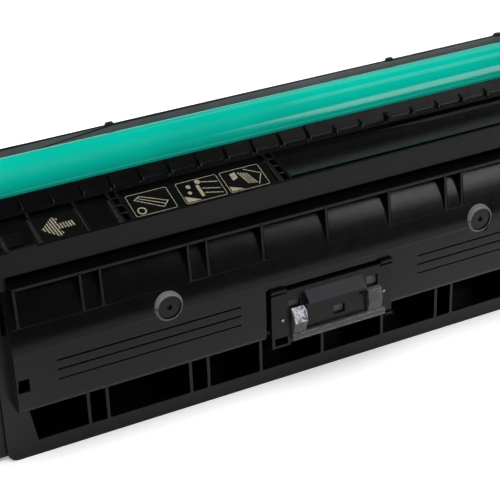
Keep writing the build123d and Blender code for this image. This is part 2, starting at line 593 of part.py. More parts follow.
with BuildPart() as blade_screws:
    for x in (BLADE_SCREW_INSET - ROLLER_HALF, ROLLER_HALF - BLADE_SCREW_INSET):
        with BuildSketch(facing(23.8)) as head:
            with Locations((x, TRAY_LOW + 4.1)):
                Circle(2.4)
        extrude(to_extrude=head.sketch, amount=1.6)
blade_screws.part.label = "blade_screws"
export_step(blade_screws.part, "parts/blade_screws.step")

# Metering blade on the hopper roof
with BuildPart() as metering_blade:
    profile(
        ((30, ROOF), (HOPPER_MOUTH, ROOF), (HOPPER_MOUTH, ROOF + 4.3), (40.3, ROOF + 5.2), (39.9, ROOF + 5.9),
         (37.2, ROOF + 4.9), (37.2, ROOF + 1.2), (30, ROOF + 1.2)),
        -ROLLER_HALF, ROLLER_HALF,
    )
metering_blade.part.label = "metering_blade"
export_step(metering_blade.part, "parts/metering_blade.step")

# Bushes pressed into the end walls of the hopper and the cheeks of the upper frame
with BuildPart() as roller_bushes:
    for at, bore in ((DEV_AT, DEV_SHAFT_R), (SUPPLY_AT, SUPPLY_SHAFT_R), (STIR_AT, STIR_SHAFT_R)):
        for x in (-BODY_HALF, BODY_HALF - WALL):
            rod(at, bore + BUSH_T, x, x + WALL)
        for x in (-BODY_HALF, BODY_HALF - WALL):
            rod(at, bore + RUNNING_GAP, x, x + WALL, Mode.SUBTRACT)
roller_bushes.part.label = "roller_bushes"
export_step(roller_bushes.part, "parts/roller_bushes.step")

with BuildPart() as charge_bushes:
    for x in (-BODY_HALF, BODY_HALF - CHEEK_T):
        rod(CHARGE_AT, CHARGE_SHAFT_R + 1.5, x, x + CHEEK_T)
        rod(CHARGE_AT, CHARGE_SHAFT_R + RUNNING_GAP, x, x + CHEEK_T, Mode.SUBTRACT)
charge_bushes.part.label = "charge_bushes"
export_step(charge_bushes.part, "parts/charge_bushes.step")

# Bearing pin of the drum, held in the left end cap
with BuildPart() as drum_pin:
    rod(DRUM_AT, PIN_R, -CAP_FACE - 3.0, -DRUM_HALF + 8)
drum_pin.part.label = "drum_pin"
export_step(drum_pin.part, "parts/drum_pin.step")

# Drum: coated tube, left end flange, geared right end flange with its drive coupling
with BuildPart() as drum_tube:
    rod(DRUM_AT, DRUM_R, -DRUM_HALF, DRUM_HALF)
    rod(DRUM_AT, DRUM_R - DRUM_WALL, -DRUM_HALF, DRUM_HALF, Mode.SUBTRACT)
drum_tube.part.label = "drum_tube"
export_step(drum_tube.part, "parts/drum_tube.step")

with BuildPart() as drum_flange:
    rod(DRUM_AT, DRUM_R - DRUM_WALL, -DRUM_HALF, -DRUM_HALF + 12)
    rod(DRUM_AT, DRUM_R - 0.4, -DRUM_HALF - 1.5, -DRUM_HALF)
    rod(DRUM_AT, PIN_R + 2.5, -DRUM_HALF - 6, -DRUM_HALF - 1.5)
    rod(DRUM_AT, PIN_R + RUNNING_GAP, -DRUM_HALF - 7, -DRUM_HALF + 12, Mode.SUBTRACT)
drum_flange.part.label = "drum_flange"
export_step(drum_flange.part, "parts/drum_flange.step")

with BuildPart() as drum_gear:
    rod(DRUM_AT, DRUM_R - DRUM_WALL, DRUM_HALF - 12, DRUM_HALF)
    rod(DRUM_AT, DRUM_R - 0.4, DRUM_HALF, GEAR_IN_X)
    toothed_wheel(DRUM_AT, DRUM_TEETH, DRUM_PHASE, GEAR_IN_X, GEAR_IN_X + GEAR_IN_W)
    rod(DRUM_AT, HUB_R, GEAR_IN_X + GEAR_IN_W, CAP_FACE + 2.5)
    # Three-lobed drive coupling
    for turn in (30.0, 150.0, 270.0):
        lobe = step_out(DRUM_AT, turn, 2.6)
        rod(lobe, 2.4, CAP_FACE + 2.5, CAP_FACE + 7.5)
    rod(DRUM_AT, 2.8, CAP_FACE + 2.5, CAP_FACE + 7.5)
drum_gear.part.label = "drum_gear"
export_step(drum_gear.part, "parts/drum_gear.step")

# Charge roller on its steel core
with BuildPart() as charge_core:
    rod(CHARGE_AT, CHARGE_SHAFT_R, -BODY_HALF, BODY_HALF)
charge_core.part.label = "charge_core"
export_step(charge_core.part, "parts/charge_core.step")

with BuildPart() as charge_roller:
    rod(CHARGE_AT, CHARGE_R, -ROLLER_HALF, ROLLER_HALF)
    rod(CHARGE_AT, CHARGE_SHAFT_R, -ROLLER_HALF, ROLLER_HALF, Mode.SUBTRACT)
charge_roller.part.label = "charge_roller"
export_step(charge_roller.part, "parts/charge_roller.step")

# Developer roller: shaft, sleeve and stepped gear
with BuildPart() as developer_shaft:
    rod(DEV_AT, DEV_SHAFT_R, -BODY_HALF - 1, GEAR_OUT_X + GEAR_OUT_W)
developer_shaft.part.label = "developer_shaft"
export_step(developer_shaft.part, "parts/developer_shaft.step")

with BuildPart() as developer_roller:
    rod(DEV_AT, DEV_R, -ROLLER_HALF, ROLLER_HALF)
    rod(DEV_AT, DEV_SHAFT_R, -ROLLER_HALF, ROLLER_HALF, Mode.SUBTRACT)
developer_roller.part.label = "developer_roller"
export_step(developer_roller.part, "parts/developer_roller.step")

with BuildPart() as developer_gear:
    toothed_wheel(DEV_AT, DEV_TEETH, DEV_PHASE, GEAR_IN_X, GEAR_IN_X + GEAR_IN_W)
    rod(DEV_AT, DEV_SHAFT_R + 1.5, GEAR_IN_X + GEAR_IN_W, GEAR_OUT_X)
    toothed_wheel(DEV_AT, DEV_OUT_TEETH, DEV_PHASE, GEAR_OUT_X, GEAR_OUT_X + GEAR_OUT_W)
    rod(DEV_AT, DEV_SHAFT_R, GEAR_IN_X, GEAR_OUT_X + GEAR_OUT_W, Mode.SUBTRACT)
developer_gear.part.label = "developer_gear"
export_step(developer_gear.part, "parts/developer_gear.step")

# Toner supply roller: shaft, foam and gear
with BuildPart() as supply_shaft:
    rod(SUPPLY_AT, SUPPLY_SHAFT_R, -BODY_HALF - 1, GEAR_OUT_X + GEAR_OUT_W)
supply_shaft.part.label = "supply_shaft"
export_step(supply_shaft.part, "parts/supply_shaft.step")

with BuildPart() as supply_roller:
    rod(SUPPLY_AT, SUPPLY_R, -ROLLER_HALF, ROLLER_HALF)
    rod(SUPPLY_AT, SUPPLY_SHAFT_R, -ROLLER_HALF, ROLLER_HALF, Mode.SUBTRACT)
supply_roller.part.label = "supply_roller"
export_step(supply_roller.part, "parts/supply_roller.step")

with BuildPart() as supply_gear:
    toothed_wheel(SUPPLY_AT, SUPPLY_TEETH, SUPPLY_PHASE, GEAR_OUT_X, GEAR_OUT_X + GEAR_OUT_W)
    rod(SUPPLY_AT, SUPPLY_SHAFT_R, GEAR_OUT_X, GEAR_OUT_X + GEAR_OUT_W, Mode.SUBTRACT)
supply_gear.part.label = "supply_gear"
export_step(supply_gear.part, "parts/supply_gear.step")

# Stirrer: shaft with arms, flexible sheet and gear
with BuildPart() as stirrer_shaft:
    rod(STIR_AT, STIR_SHAFT_R, -BODY_HALF - 1, GEAR_OUT_X + GEAR_OUT_W)
    arm_step = (2 * ROLLER_HALF - 6) / 5
    arm_y = (STIR_AT[0] - 1.2, STIR_AT[0] + 1.2)
    for count in range(6):
        x = 3 - ROLLER_HALF + count * arm_step
        block(x - 1, x + 1, *arm_y, STIR_AT[1], STIR_AT[1] + STIR_REACH - 5)
    bar_z = (STIR_AT[1] + STIR_REACH - 7, STIR_AT[1] + STIR_REACH - 4)
    block(1 - ROLLER_HALF, ROLLER_HALF - 1, *arm_y, *bar_z)
stirrer_shaft.part.label = "stirrer_shaft"
export_step(stirrer_shaft.part, "parts/stirrer_shaft.step")

with BuildPart() as stirrer_sheet:
    sheet_y = (STIR_AT[0] + 1.2, STIR_AT[0] + 1.6)
    sheet_z = (STIR_AT[1] + STIR_REACH - 7, STIR_AT[1] + STIR_REACH)
    block(1 - ROLLER_HALF, ROLLER_HALF - 1, *sheet_y, *sheet_z)
stirrer_sheet.part.label = "stirrer_sheet"
export_step(stirrer_sheet.part, "parts/stirrer_sheet.step")

with BuildPart() as stirrer_gear:
    toothed_wheel(STIR_AT, STIR_TEETH, STIR_PHASE, GEAR_OUT_X, GEAR_OUT_X + GEAR_OUT_W)
    rod(STIR_AT, STIR_SHAFT_R, GEAR_OUT_X, GEAR_OUT_X + GEAR_OUT_W, Mode.SUBTRACT)
stirrer_gear.part.label = "stirrer_gear"
export_step(stirrer_gear.part, "parts/stirrer_gear.step")

# Chip holder: plate with a slanted hood, clips and a notch, set in the window of the front cover
HOLDER_FACE = -10.4
HOLDER_BACK = -8.4
HOLDER_LEFT = -31.6
HOLDER_RIGHT = 31.2
with BuildPart() as chip_holder:
    block(HOLDER_LEFT, HOLDER_RIGHT, HOLDER_FACE, HOLDER_BACK, 25.8, 53.4)
    block(HOLDER_LEFT, -23.5, HOLDER_FACE - 0.1, HOLDER_BACK + 0.1, 25.7, 29.6, Mode.SUBTRACT)
    block(HOLDER_LEFT, HOLDER_LEFT + 1.6, HOLDER_FACE, HOLDER_BACK, 25.8, 29.6)
    block(HOLDER_LEFT, -22.0, HOLDER_FACE, HOLDER_BACK, 24.6, 25.8)
    # Legs that stand on the inside of the cover
    block(HOLDER_LEFT, HOLDER_RIGHT, HOLDER_BACK, 0.0, 51.4, 53.4)
    block(-31.0, -29.0, HOLDER_BACK, 0.0, 32.0, 51.4)
    block(29.0, 31.0, HOLDER_BACK, 0.0, 32.0, 51.4)
    # Windows for the pads
    block(0.4, 6.2, HOLDER_FACE - 1, HOLDER_BACK + 1, 33.9, 38.3, Mode.SUBTRACT)
    block(-22.8, -17.0, HOLDER_FACE - 1, HOLDER_BACK + 1, 44.0, 47.8, Mode.SUBTRACT)
    block(17.6, 23.6, HOLDER_FACE - 1, HOLDER_BACK + 1, 43.2, 48.6, Mode.SUBTRACT)
    # Slanted hood over the middle
    hood = ((HOLDER_FACE, 51.2), (-15.6, 46.6), (-15.6, 45.4), (-14.4, 45.4), (HOLDER_FACE, 49.0))
    profile(hood, -14.8, 15.0)
    for x0, x1 in ((-14.8, -13.8), (14.0, 15.0)):
        profile(((HOLDER_FACE, 51.2), (-15.6, 46.6), (-15.6, 45.4), (HOLDER_FACE, 40.0)), x0, x1)
    # Clips at the top corners
    for x0, x1 in ((HOLDER_LEFT, -24.0), (25.0, HOLDER_RIGHT)):
        block(x0, x1, HOLDER_FACE - 0.8, HOLDER_FACE, 51.9, 52.7)
        block(x0, x1, HOLDER_FACE, HOLDER_BACK, 53.4, 54.1)
        block(x0, x1, HOLDER_FACE - 0.8, HOLDER_BACK, 54.1, 54.9)
    block(27.4, HOLDER_RIGHT, HOLDER_FACE - 1.2, HOLDER_FACE, 25.8, 27.0)
chip_holder.part.label = "chip_holder"
export_step(chip_holder.part, "parts/chip_holder.step")

# Chip board behind the windows of the holder
with BuildPart() as chip_board:
    block(-27.0, 27.0, HOLDER_BACK, HOLDER_BACK + 1.2, 32.4, 50.4)
chip_board.part.label = "chip_board"
export_step(chip_board.part, "parts/chip_board.step")

# Clear light guide: two prisms joined by a bar along the lower edge
with BuildPart() as light_guide:
    profile(((HOLDER_FACE, 27.4), (-12.6, 27.4), (-12.6, 30.6), (HOLDER_FACE, 30.6)), -21.6, 26.6)
    profile(((HOLDER_FACE, 30.6), (-12.0, 30.6), (-14.6, 37.5), (-13.4, 42.6), (HOLDER_FACE, 43.6)), -21.6, -15.2)
    profile(((HOLDER_FACE, 30.6), (-12.0, 30.6), (-13.6, 36.5), (-12.4, 42.0), (HOLDER_FACE, 42.8)), 17.6, 24.6)
light_guide.part.label = "light_guide"
export_step(light_guide.part, "parts/light_guide.step")

# Rivets of the chip holder
with BuildPart() as holder_pins:
    for x in (-26.2, 26.6):
        with BuildSketch(facing(HOLDER_FACE)) as pin:
            with Locations((x, 38.9)):
                Circle(0.75)
        extrude(to_extrude=pin.sketch, amount=0.6)
holder_pins.part.label = "holder_pins"
export_step(holder_pins.part, "parts/holder_pins.step")
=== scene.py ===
"""Toner cartridge with its green imaging drum, dressed for a studio view on a white table."""
import logging
import math
from dataclasses import dataclass, field
from enum import Enum
from typing import Callable, Sequence

import bmesh
import bpy
from mathutils import Matrix, Vector


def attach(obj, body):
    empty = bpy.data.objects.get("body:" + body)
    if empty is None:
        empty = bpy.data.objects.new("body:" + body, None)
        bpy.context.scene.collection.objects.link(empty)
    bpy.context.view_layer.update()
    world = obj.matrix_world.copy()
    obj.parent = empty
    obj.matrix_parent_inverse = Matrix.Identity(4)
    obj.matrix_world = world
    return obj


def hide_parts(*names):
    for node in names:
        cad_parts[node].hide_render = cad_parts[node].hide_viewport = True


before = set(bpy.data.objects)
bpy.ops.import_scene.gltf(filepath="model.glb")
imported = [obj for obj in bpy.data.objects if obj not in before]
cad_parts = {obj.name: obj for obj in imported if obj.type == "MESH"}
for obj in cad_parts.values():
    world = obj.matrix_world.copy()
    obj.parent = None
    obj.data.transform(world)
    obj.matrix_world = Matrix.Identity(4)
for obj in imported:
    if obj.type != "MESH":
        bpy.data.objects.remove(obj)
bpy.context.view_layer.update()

LOG = logging.getLogger("cartridge")
MM = 0.001
WHITE = (1.0, 1.0, 1.0, 1.0)
# Depth in mm from the front plate to the middle of the part
PLATE_TO_MIDDLE = 29.0

# Points of a copy nearer than this many mm become one
MERGE = 0.004
# Neighbouring faces that differ by less become one
FLAT_DEGREES = 0.6
# Edges that turn by more are rounded
ROUND_DEGREES = 34.0
# Square mm of area for each mm of outline, under which a face is a sliver
SLIVER_SHARE = 0.005
# Points nearer to a cut than this many mm are taken as lying on it
CUT = 0.002

Colour = tuple[float, float, float]
Point = tuple[float, float]
Material = bpy.types.Material
Socket = bpy.types.NodeSocket
Face = bmesh.types.BMFace
FaceTest = Callable[[Face], bool]
Reshape = Callable[[float, float, float], Point | None]


def srgb(red: float, green: float, blue: float) -> Colour:
    """Turns a colour written as 0 to 255 into scene values.

    Args:
        red: Red level.
        green: Green level.
        blue: Blue level.

    Returns:
        The same colour in linear values.
    """
    shares = (level / 255.0 for level in (red, green, blue))
    return tuple(
        share / 12.92 if share <= 0.04045 else ((share + 0.055) / 1.055) ** 2.4 for share in shares
    )


def spot(x: float, y: float, z: float) -> Vector:
    """Place in metres of a point given in mm.

    Args:
        x: Distance along the cartridge from its middle.
        y: Depth behind the front plate.
        z: Height above the table.

    Returns:
        The point in the frame of the part.
    """
    return Vector((x, y - PLATE_TO_MIDDLE, z)) * MM


class Body(Enum):
    """Moving bodies of the cartridge."""

    HOUSING = "housing"
    DRUM = "drum"
    CHARGE = "charge"
    DEVELOPER = "developer"
    SUPPLY = "supply"
    STIRRER = "stirrer"


class Grain(Enum):
    """Texture that the mould leaves on a plastic face."""

    SPARK = "spark"
    FINE = "fine"
    POLISHED = "polished"


class Graph:
    """Node tree of one material or world, with short calls to add and join nodes."""

    def __init__(self, owner: Material | bpy.types.World, output: str) -> None:
        """Empties the tree and adds its output.

        Args:
            owner: Material or world that has the tree.
            output: Type name of the output node without its common prefix.
        """
        self.owner = owner
        owner.use_nodes = True
        self.tree = owner.node_tree
        self.tree.nodes.clear()
        self.output = self.add(output)

    @classmethod
    def of_material(cls, name: str) -> "Graph":
        """Starts the tree of a new material.

        Args:
            name: Name of the material.

        Returns:
            The tree with its output.
        """
        return cls(bpy.data.materials.new(name), "OutputMaterial")

    def add(self, kind: str, **settings: object) -> bpy.types.Node:
        """Adds a node.

        Args:
            kind: Type name of the node without its common prefix.
            **settings: Properties to set on the node.

        Returns:
            The new node.
        """
        node = self.tree.nodes.new("ShaderNode" + kind)
        for key, value in settings.items():
            setattr(node, key, value)
        return node

    def put(self, node: bpy.types.Node, **values: object) -> bpy.types.Node:
        """Sets or links inputs of a node.

        Args:
            node: Node whose inputs are set.
            **values: Socket names with underscores, or i and the socket's number, each with a
                value or an output socket.

        Returns:
            The same node.
        """
        for key, value in values.items():
            numbered = key[0] == "i" and key[1:].isdigit()
            socket = node.inputs[int(key[1:]) if numbered else key.replace("_", " ")]
            if isinstance(value, Socket):
                self.tree.links.new(value, socket)
            else:
                socket.default_value = value
        return node

    def place(self) -> Socket:
        """Gives the place of a shaded point.

        Returns:
            Its object coordinates in metres.
        """
        return self.add("TexCoord").outputs["Object"]

    def noise(
        self, scale: float, detail: float = 3.0, rough: float = 0.5, warp: float = 0.0,
    ) -> Socket:
        """Soft random pattern in object space.

        Args:
            scale: Cells a metre.
            detail: Octaves.
            rough: Weight of the finer octaves.
            warp: Distortion.

        Returns:
            The factor output.
        """
        node = self.add("TexNoise")
        self.put(node, Vector=self.place(), Scale=scale, Detail=detail, Roughness=rough, Distortion=warp)
        return node.outputs["Fac"]

    def ramp(self, factor: Socket, stops: Sequence[tuple[float, Colour]]) -> Socket:
        """Colour ramp over a factor.

        Args:
            factor: Socket that drives the ramp.
            stops: Positions with their colours.

        Returns:
            The colour output.
        """
        node = self.add("ValToRGB")
        elements = node.color_ramp.elements
        while len(elements) < len(stops):
            elements.new(0.5)
        for element, (where, colour) in zip(elements, stops):
            element.position = where
            element.color = (*colour, 1.0)
        self.put(node, Fac=factor)
        return node.outputs["Color"]

    def spread(
        self, factor: Socket, low: float | Socket, high: float, start: float = 0.0, end: float = 1.0,
    ) -> Socket:
        """Maps a factor on to a range.

        Args:
            factor: Socket that is mapped.
            low: Value at the start.
            high: Value at the end.
            start: Factor that gives the low value.
            end: Factor that gives the high value.

        Returns:
            The mapped value.
        """
        node = self.add("MapRange")
        self.put(node, Value=factor, i1=start, i2=end, i3=low, i4=high)
        return node.outputs["Result"]

    def bump(
        self, height: Socket, depth: float, strength: float = 1.0, below: Socket | None = None,
    ) -> Socket:
        """Normal that a height pattern gives.

        Args:
            height: Height pattern from 0 to 1.
            depth: Depth of the pattern in metres.
            strength: Share of the effect.
            below: Normal that this one builds on.

        Returns:
            The normal output.
        """
        node = self.add("Bump")
        self.put(node, Height=height, Distance=depth, Strength=strength)
        if below is not None:
            self.put(node, Normal=below)
        return node.outputs["Normal"]

    def shade(self, **values: object) -> Material:
        """Ends the tree with one principled shader.

        Args:
            **values: Inputs of the shader.

        Returns:
            The finished material.
        """
        shader = self.put(self.add("BsdfPrincipled"), **values)
        self.put(self.output, Surface=shader.outputs["BSDF"])
        return self.owner


@dataclass(frozen=True)
class MouldedPlastic:
    """Injection-moulded plastic with grain and a light haze of toner."""

    name: str
    colour: Colour
    roughness: float = 0.42
    grain: Grain = Grain.SPARK
    specular: float = 0.42
    tone: float = 0.18

    def material(self) -> Material:
        """Builds the node material.

        Returns:
            The finished material.
        """
        graph = Graph.of_material(self.name)
        clouds = graph.noise(55.0, 4.0, 0.6)
        dark = tuple(level * (1.0 - self.tone) for level in self.colour)
        light = tuple(min(1.0, level * (1.0 + self.tone)) for level in self.colour)
        base = graph.ramp(clouds, [(0.3, dark), (0.7, light)])
        size, depth = {
            Grain.SPARK: (5200.0, 0.00001),
            Grain.FINE: (9000.0, 0.000006),
            Grain.POLISHED: (1200.0, 0.000002),
        }[self.grain]
        fine = graph.noise(size, 3.0, 0.7)
        flow = graph.bump(graph.noise(90.0, 2.0), 0.00003, 0.35)
        normal = graph.bump(fine, depth, 0.5, flow)
        low, high = self.roughness * 0.86, self.roughness * 1.16
        rough = graph.spread(graph.noise(140.0, 4.0, 0.65), low, high, 0.3, 0.7)
        return graph.shade(
            Base_Color=base, Roughness=rough, Normal=normal, Specular_IOR_Level=self.specular,
        )


@dataclass(frozen=True)
class DrumCoating:
    """Glossy green light-sensitive coat of the imaging drum."""

    name: str = "drum_green_coat"
    colour: Colour = srgb(0, 174, 153)

    def material(self) -> Material:
        """Builds the node material.

        Returns:
            The finished material.
        """
        graph = Graph.of_material(self.name)
        drift = graph.noise(22.0, 2.0)
        low = tuple(level * 0.93 for level in self.colour)
        high = tuple(level * 1.05 for level in self.colour)
        base = graph.ramp(drift, [(0.35, low), (0.65, high)])
        normal = graph.bump(graph.noise(2600.0, 2.0), 0.000002, 0.3)
        rough = graph.spread(graph.noise(300.0, 3.0), 0.1, 0.13, 0.3, 0.7)
        return graph.shade(
            Base_Color=base, Roughness=rough, Normal=normal, Specular_IOR_Level=0.62,
            Coat_Weight=0.15, Coat_Roughness=0.08, Coat_IOR=1.5,
        )


@dataclass(frozen=True)
class TurnedMetal:
    """Bright metal with fine marks that run round or along it."""

    name: str
    colour: Colour
    roughness: float = 0.28
    marks: float = 4200.0

    def material(self) -> Material:
        """Builds the node material.

        Returns:
            The finished material.
        """
        graph = Graph.of_material(self.name)
        stretch = graph.add("Mapping")
        graph.put(stretch, Vector=graph.place(), Scale=(1.0, 0.04, 0.04))
        lines = graph.add("TexNoise")
        graph.put(lines, Vector=stretch.outputs["Vector"], Scale=self.marks, Detail=2.0)
        low = tuple(level * 0.86 for level in self.colour)
        base = graph.ramp(graph.noise(130.0, 3.0), [(0.3, low), (0.7, self.colour)])
        rough = graph.spread(lines.outputs["Fac"], self.roughness - 0.06, self.roughness + 0.1, 0.3, 0.7)
        normal = graph.bump(lines.outputs["Fac"], 0.000003, 0.4)
        return graph.shade(Base_Color=base, Metallic=1.0, Roughness=rough, Normal=normal)


@dataclass(frozen=True)
class SoftRoller:
    """Rubber or foam skin of a roller, with painted shade in the pits of its cells."""

    name: str
    colour: Colour
    cell: float
    depth: float
    roughness: float

    def material(self) -> Material:
        """Builds the node material.

        Returns:
            The finished material.
        """
        graph = Graph.of_material(self.name)
        cells = graph.add("TexVoronoi")
        graph.put(cells, Vector=graph.place(), Scale=self.cell)
        # Painted shade: the pits of the cells, where the bump sinks, are darker.
        pit_shade = tuple(level * 0.45 for level in self.colour)
        base = graph.ramp(cells.outputs["Distance"], [(0.0, pit_shade), (0.55, self.colour)])
        normal = graph.bump(cells.outputs["Distance"], self.depth, 0.6)
        rough = graph.spread(graph.noise(600.0), self.roughness - 0.08, self.roughness + 0.08, 0.3, 0.7)
        return graph.shade(Base_Color=base, Roughness=rough, Normal=normal, Specular_IOR_Level=0.3)


@dataclass(frozen=True)
class ClearPlastic:
    """Clear moulded plastic with faint flow lines."""

    name: str
    tint: Colour
    roughness: float = 0.08

    def material(self) -> Material:
        """Builds the node material.

        Returns:
            The finished material.
        """
        graph = Graph.of_material(self.name)
        low = tuple(level * 0.95 for level in self.tint)
        base = graph.ramp(graph.noise(180.0, 2.0), [(0.3, low), (0.7, self.tint)])
        rough = graph.spread(graph.noise(400.0), self.roughness * 0.6, self.roughness * 1.6, 0.3, 0.7)
        normal = graph.bump(graph.noise(320.0, 2.0), 0.00002, 0.4)
        return graph.shade(
            Base_Color=base, Roughness=rough, Normal=normal, Transmission_Weight=0.9, IOR=1.49,
        )


@dataclass(frozen=True)
class FlatInk:
    """Pale ink printed on plastic, slightly worn."""

    name: str
    colour: Colour
    worn: Colour

    def material(self) -> Material:
        """Builds the node material.

        Returns:
            The finished material.
        """
        graph = Graph.of_material(self.name)
        base = graph.ramp(graph.noise(1400.0, 4.0, 0.7), [(0.36, self.worn), (0.5, self.colour)])
        rough = graph.spread(graph.noise(900.0), 0.5, 0.7, 0.3, 0.7)
        return graph.shade(Base_Color=base, Roughness=rough, Specular_IOR_Level=0.3)


@dataclass(frozen=True)
class PaintedPrismHighlight:
    """Clear plastic with painted highlights: bright streaks in its colour stand in for the light that
    its inner faces throw back.
    """

    name: str
    dim: Colour
    bright: Colour

    def material(self) -> Material:
        """Builds the node material.

        Returns:
            The finished material.
        """
        graph = Graph.of_material(self.name)
        highlight_streaks = graph.noise(420.0, 2.0, 0.5, 1.2)
        base = graph.ramp(highlight_streaks, [(0.38, self.dim), (0.56, self.bright)])
        rough = graph.spread(graph.noise(500.0), 0.06, 0.14, 0.3, 0.7)
        return graph.shade(Base_Color=base, Roughness=rough, Transmission_Weight=0.25, IOR=1.49)


class Palette:
    """Every finish of the cartridge, made once and shared."""

    def __init__(self) -> None:
        """Builds the materials."""
        self.shell = MouldedPlastic("shell_black", srgb(7, 7, 8), 0.3, Grain.SPARK, 0.5).material()
        self.cover = MouldedPlastic("cover_black", srgb(6, 6, 8), 0.22, Grain.FINE, 0.46).material()
        self.tray = MouldedPlastic("tray_black", srgb(6, 6, 7), 0.25, Grain.FINE, 0.5).material()
        # Painted highlight: a lighter grey on the flanks of the screw bosses, so that their upper sides
        # shade brighter, stands in for the light they reflect.
        self.boss = MouldedPlastic(
            "boss_painted_highlight", srgb(112, 111, 115), 0.34, Grain.FINE, 0.5, 0.06,
        ).material()
        # Painted reflection: a paler grey on the front of the rear rim stands in for the light it
        # reflects.
        self.rim = MouldedPlastic("rim_painted_reflection", srgb(78, 74, 78), 0.34, Grain.FINE, 0.5).material()
        self.plate = MouldedPlastic("plate_black", srgb(6, 8, 7), 0.3, Grain.POLISHED, 0.45).material()
        self.holder = MouldedPlastic("holder_black", srgb(8, 9, 8), 0.3, Grain.POLISHED, 0.4).material()
        self.hopper = MouldedPlastic("hopper_black", srgb(8, 8, 9), 0.45, Grain.SPARK, 0.42).material()
        self.cap = MouldedPlastic("cap_black", srgb(9, 9, 10), 0.38, Grain.SPARK, 0.5).material()
        self.gear = MouldedPlastic(
            "gear_ivory", srgb(216, 212, 198), 0.35, Grain.POLISHED, 0.45, 0.04,
        ).material()
        self.bush = MouldedPlastic(
            "bush_grey", srgb(92, 92, 94), 0.4, Grain.POLISHED, 0.4, 0.08,
        ).material()
        self.warm_pad = MouldedPlastic(
            "pad_warm_grey", srgb(112, 106, 100), 0.4, Grain.FINE, 0.4, 0.06,
        ).material()
        self.drum = DrumCoating().material()
        self.steel = TurnedMetal("shaft_steel", srgb(196, 198, 202)).material()
        self.zinc = TurnedMetal("screw_zinc", srgb(176, 178, 180), 0.34, 5200.0).material()
        self.bronze = TurnedMetal("blade_bronze", srgb(186, 150, 96), 0.3, 2600.0).material()
        self.contact = TurnedMetal("contact_nickel", srgb(204, 198, 182), 0.24, 3600.0).material()
        self.rubber = SoftRoller("charge_rubber", srgb(30, 30, 32), 5200.0, 0.000008, 0.5).material()
        self.sleeve = SoftRoller("developer_rubber", srgb(46, 44, 46), 7000.0, 0.000006, 0.42).material()
        self.foam = SoftRoller("supply_foam", srgb(58, 56, 58), 1500.0, 0.00012, 0.85).material()
        self.urethane = ClearPlastic("blade_urethane", srgb(232, 190, 120), 0.25).material()
        self.film = ClearPlastic("stirrer_film", srgb(210, 216, 220), 0.15).material()
        self.clear = ClearPlastic("guide_clear", srgb(226, 228, 232), 0.03).material()
        # Painted highlights: bright streaks on the upper left prism and paler painted glints on the
        # narrow edges of the light guide.
        self.prism_highlight = PaintedPrismHighlight("guide_painted_highlight", srgb(118, 120, 136), srgb(238, 238, 246)).material()
        self.glint = PaintedPrismHighlight("guide_glint", srgb(96, 98, 104), srgb(150, 152, 158)).material()
        # Painted highlight: a lighter grey on the slanted top of the hood stands in for the light it
        # reflects.
        self.hood = MouldedPlastic(
            "hood_painted_highlight", srgb(50, 51, 54), 0.36, Grain.FINE, 0.45, 0.08,
        ).material()
        self.ink = FlatInk("print_beige", srgb(146, 137, 118), srgb(96, 90, 78)).material()


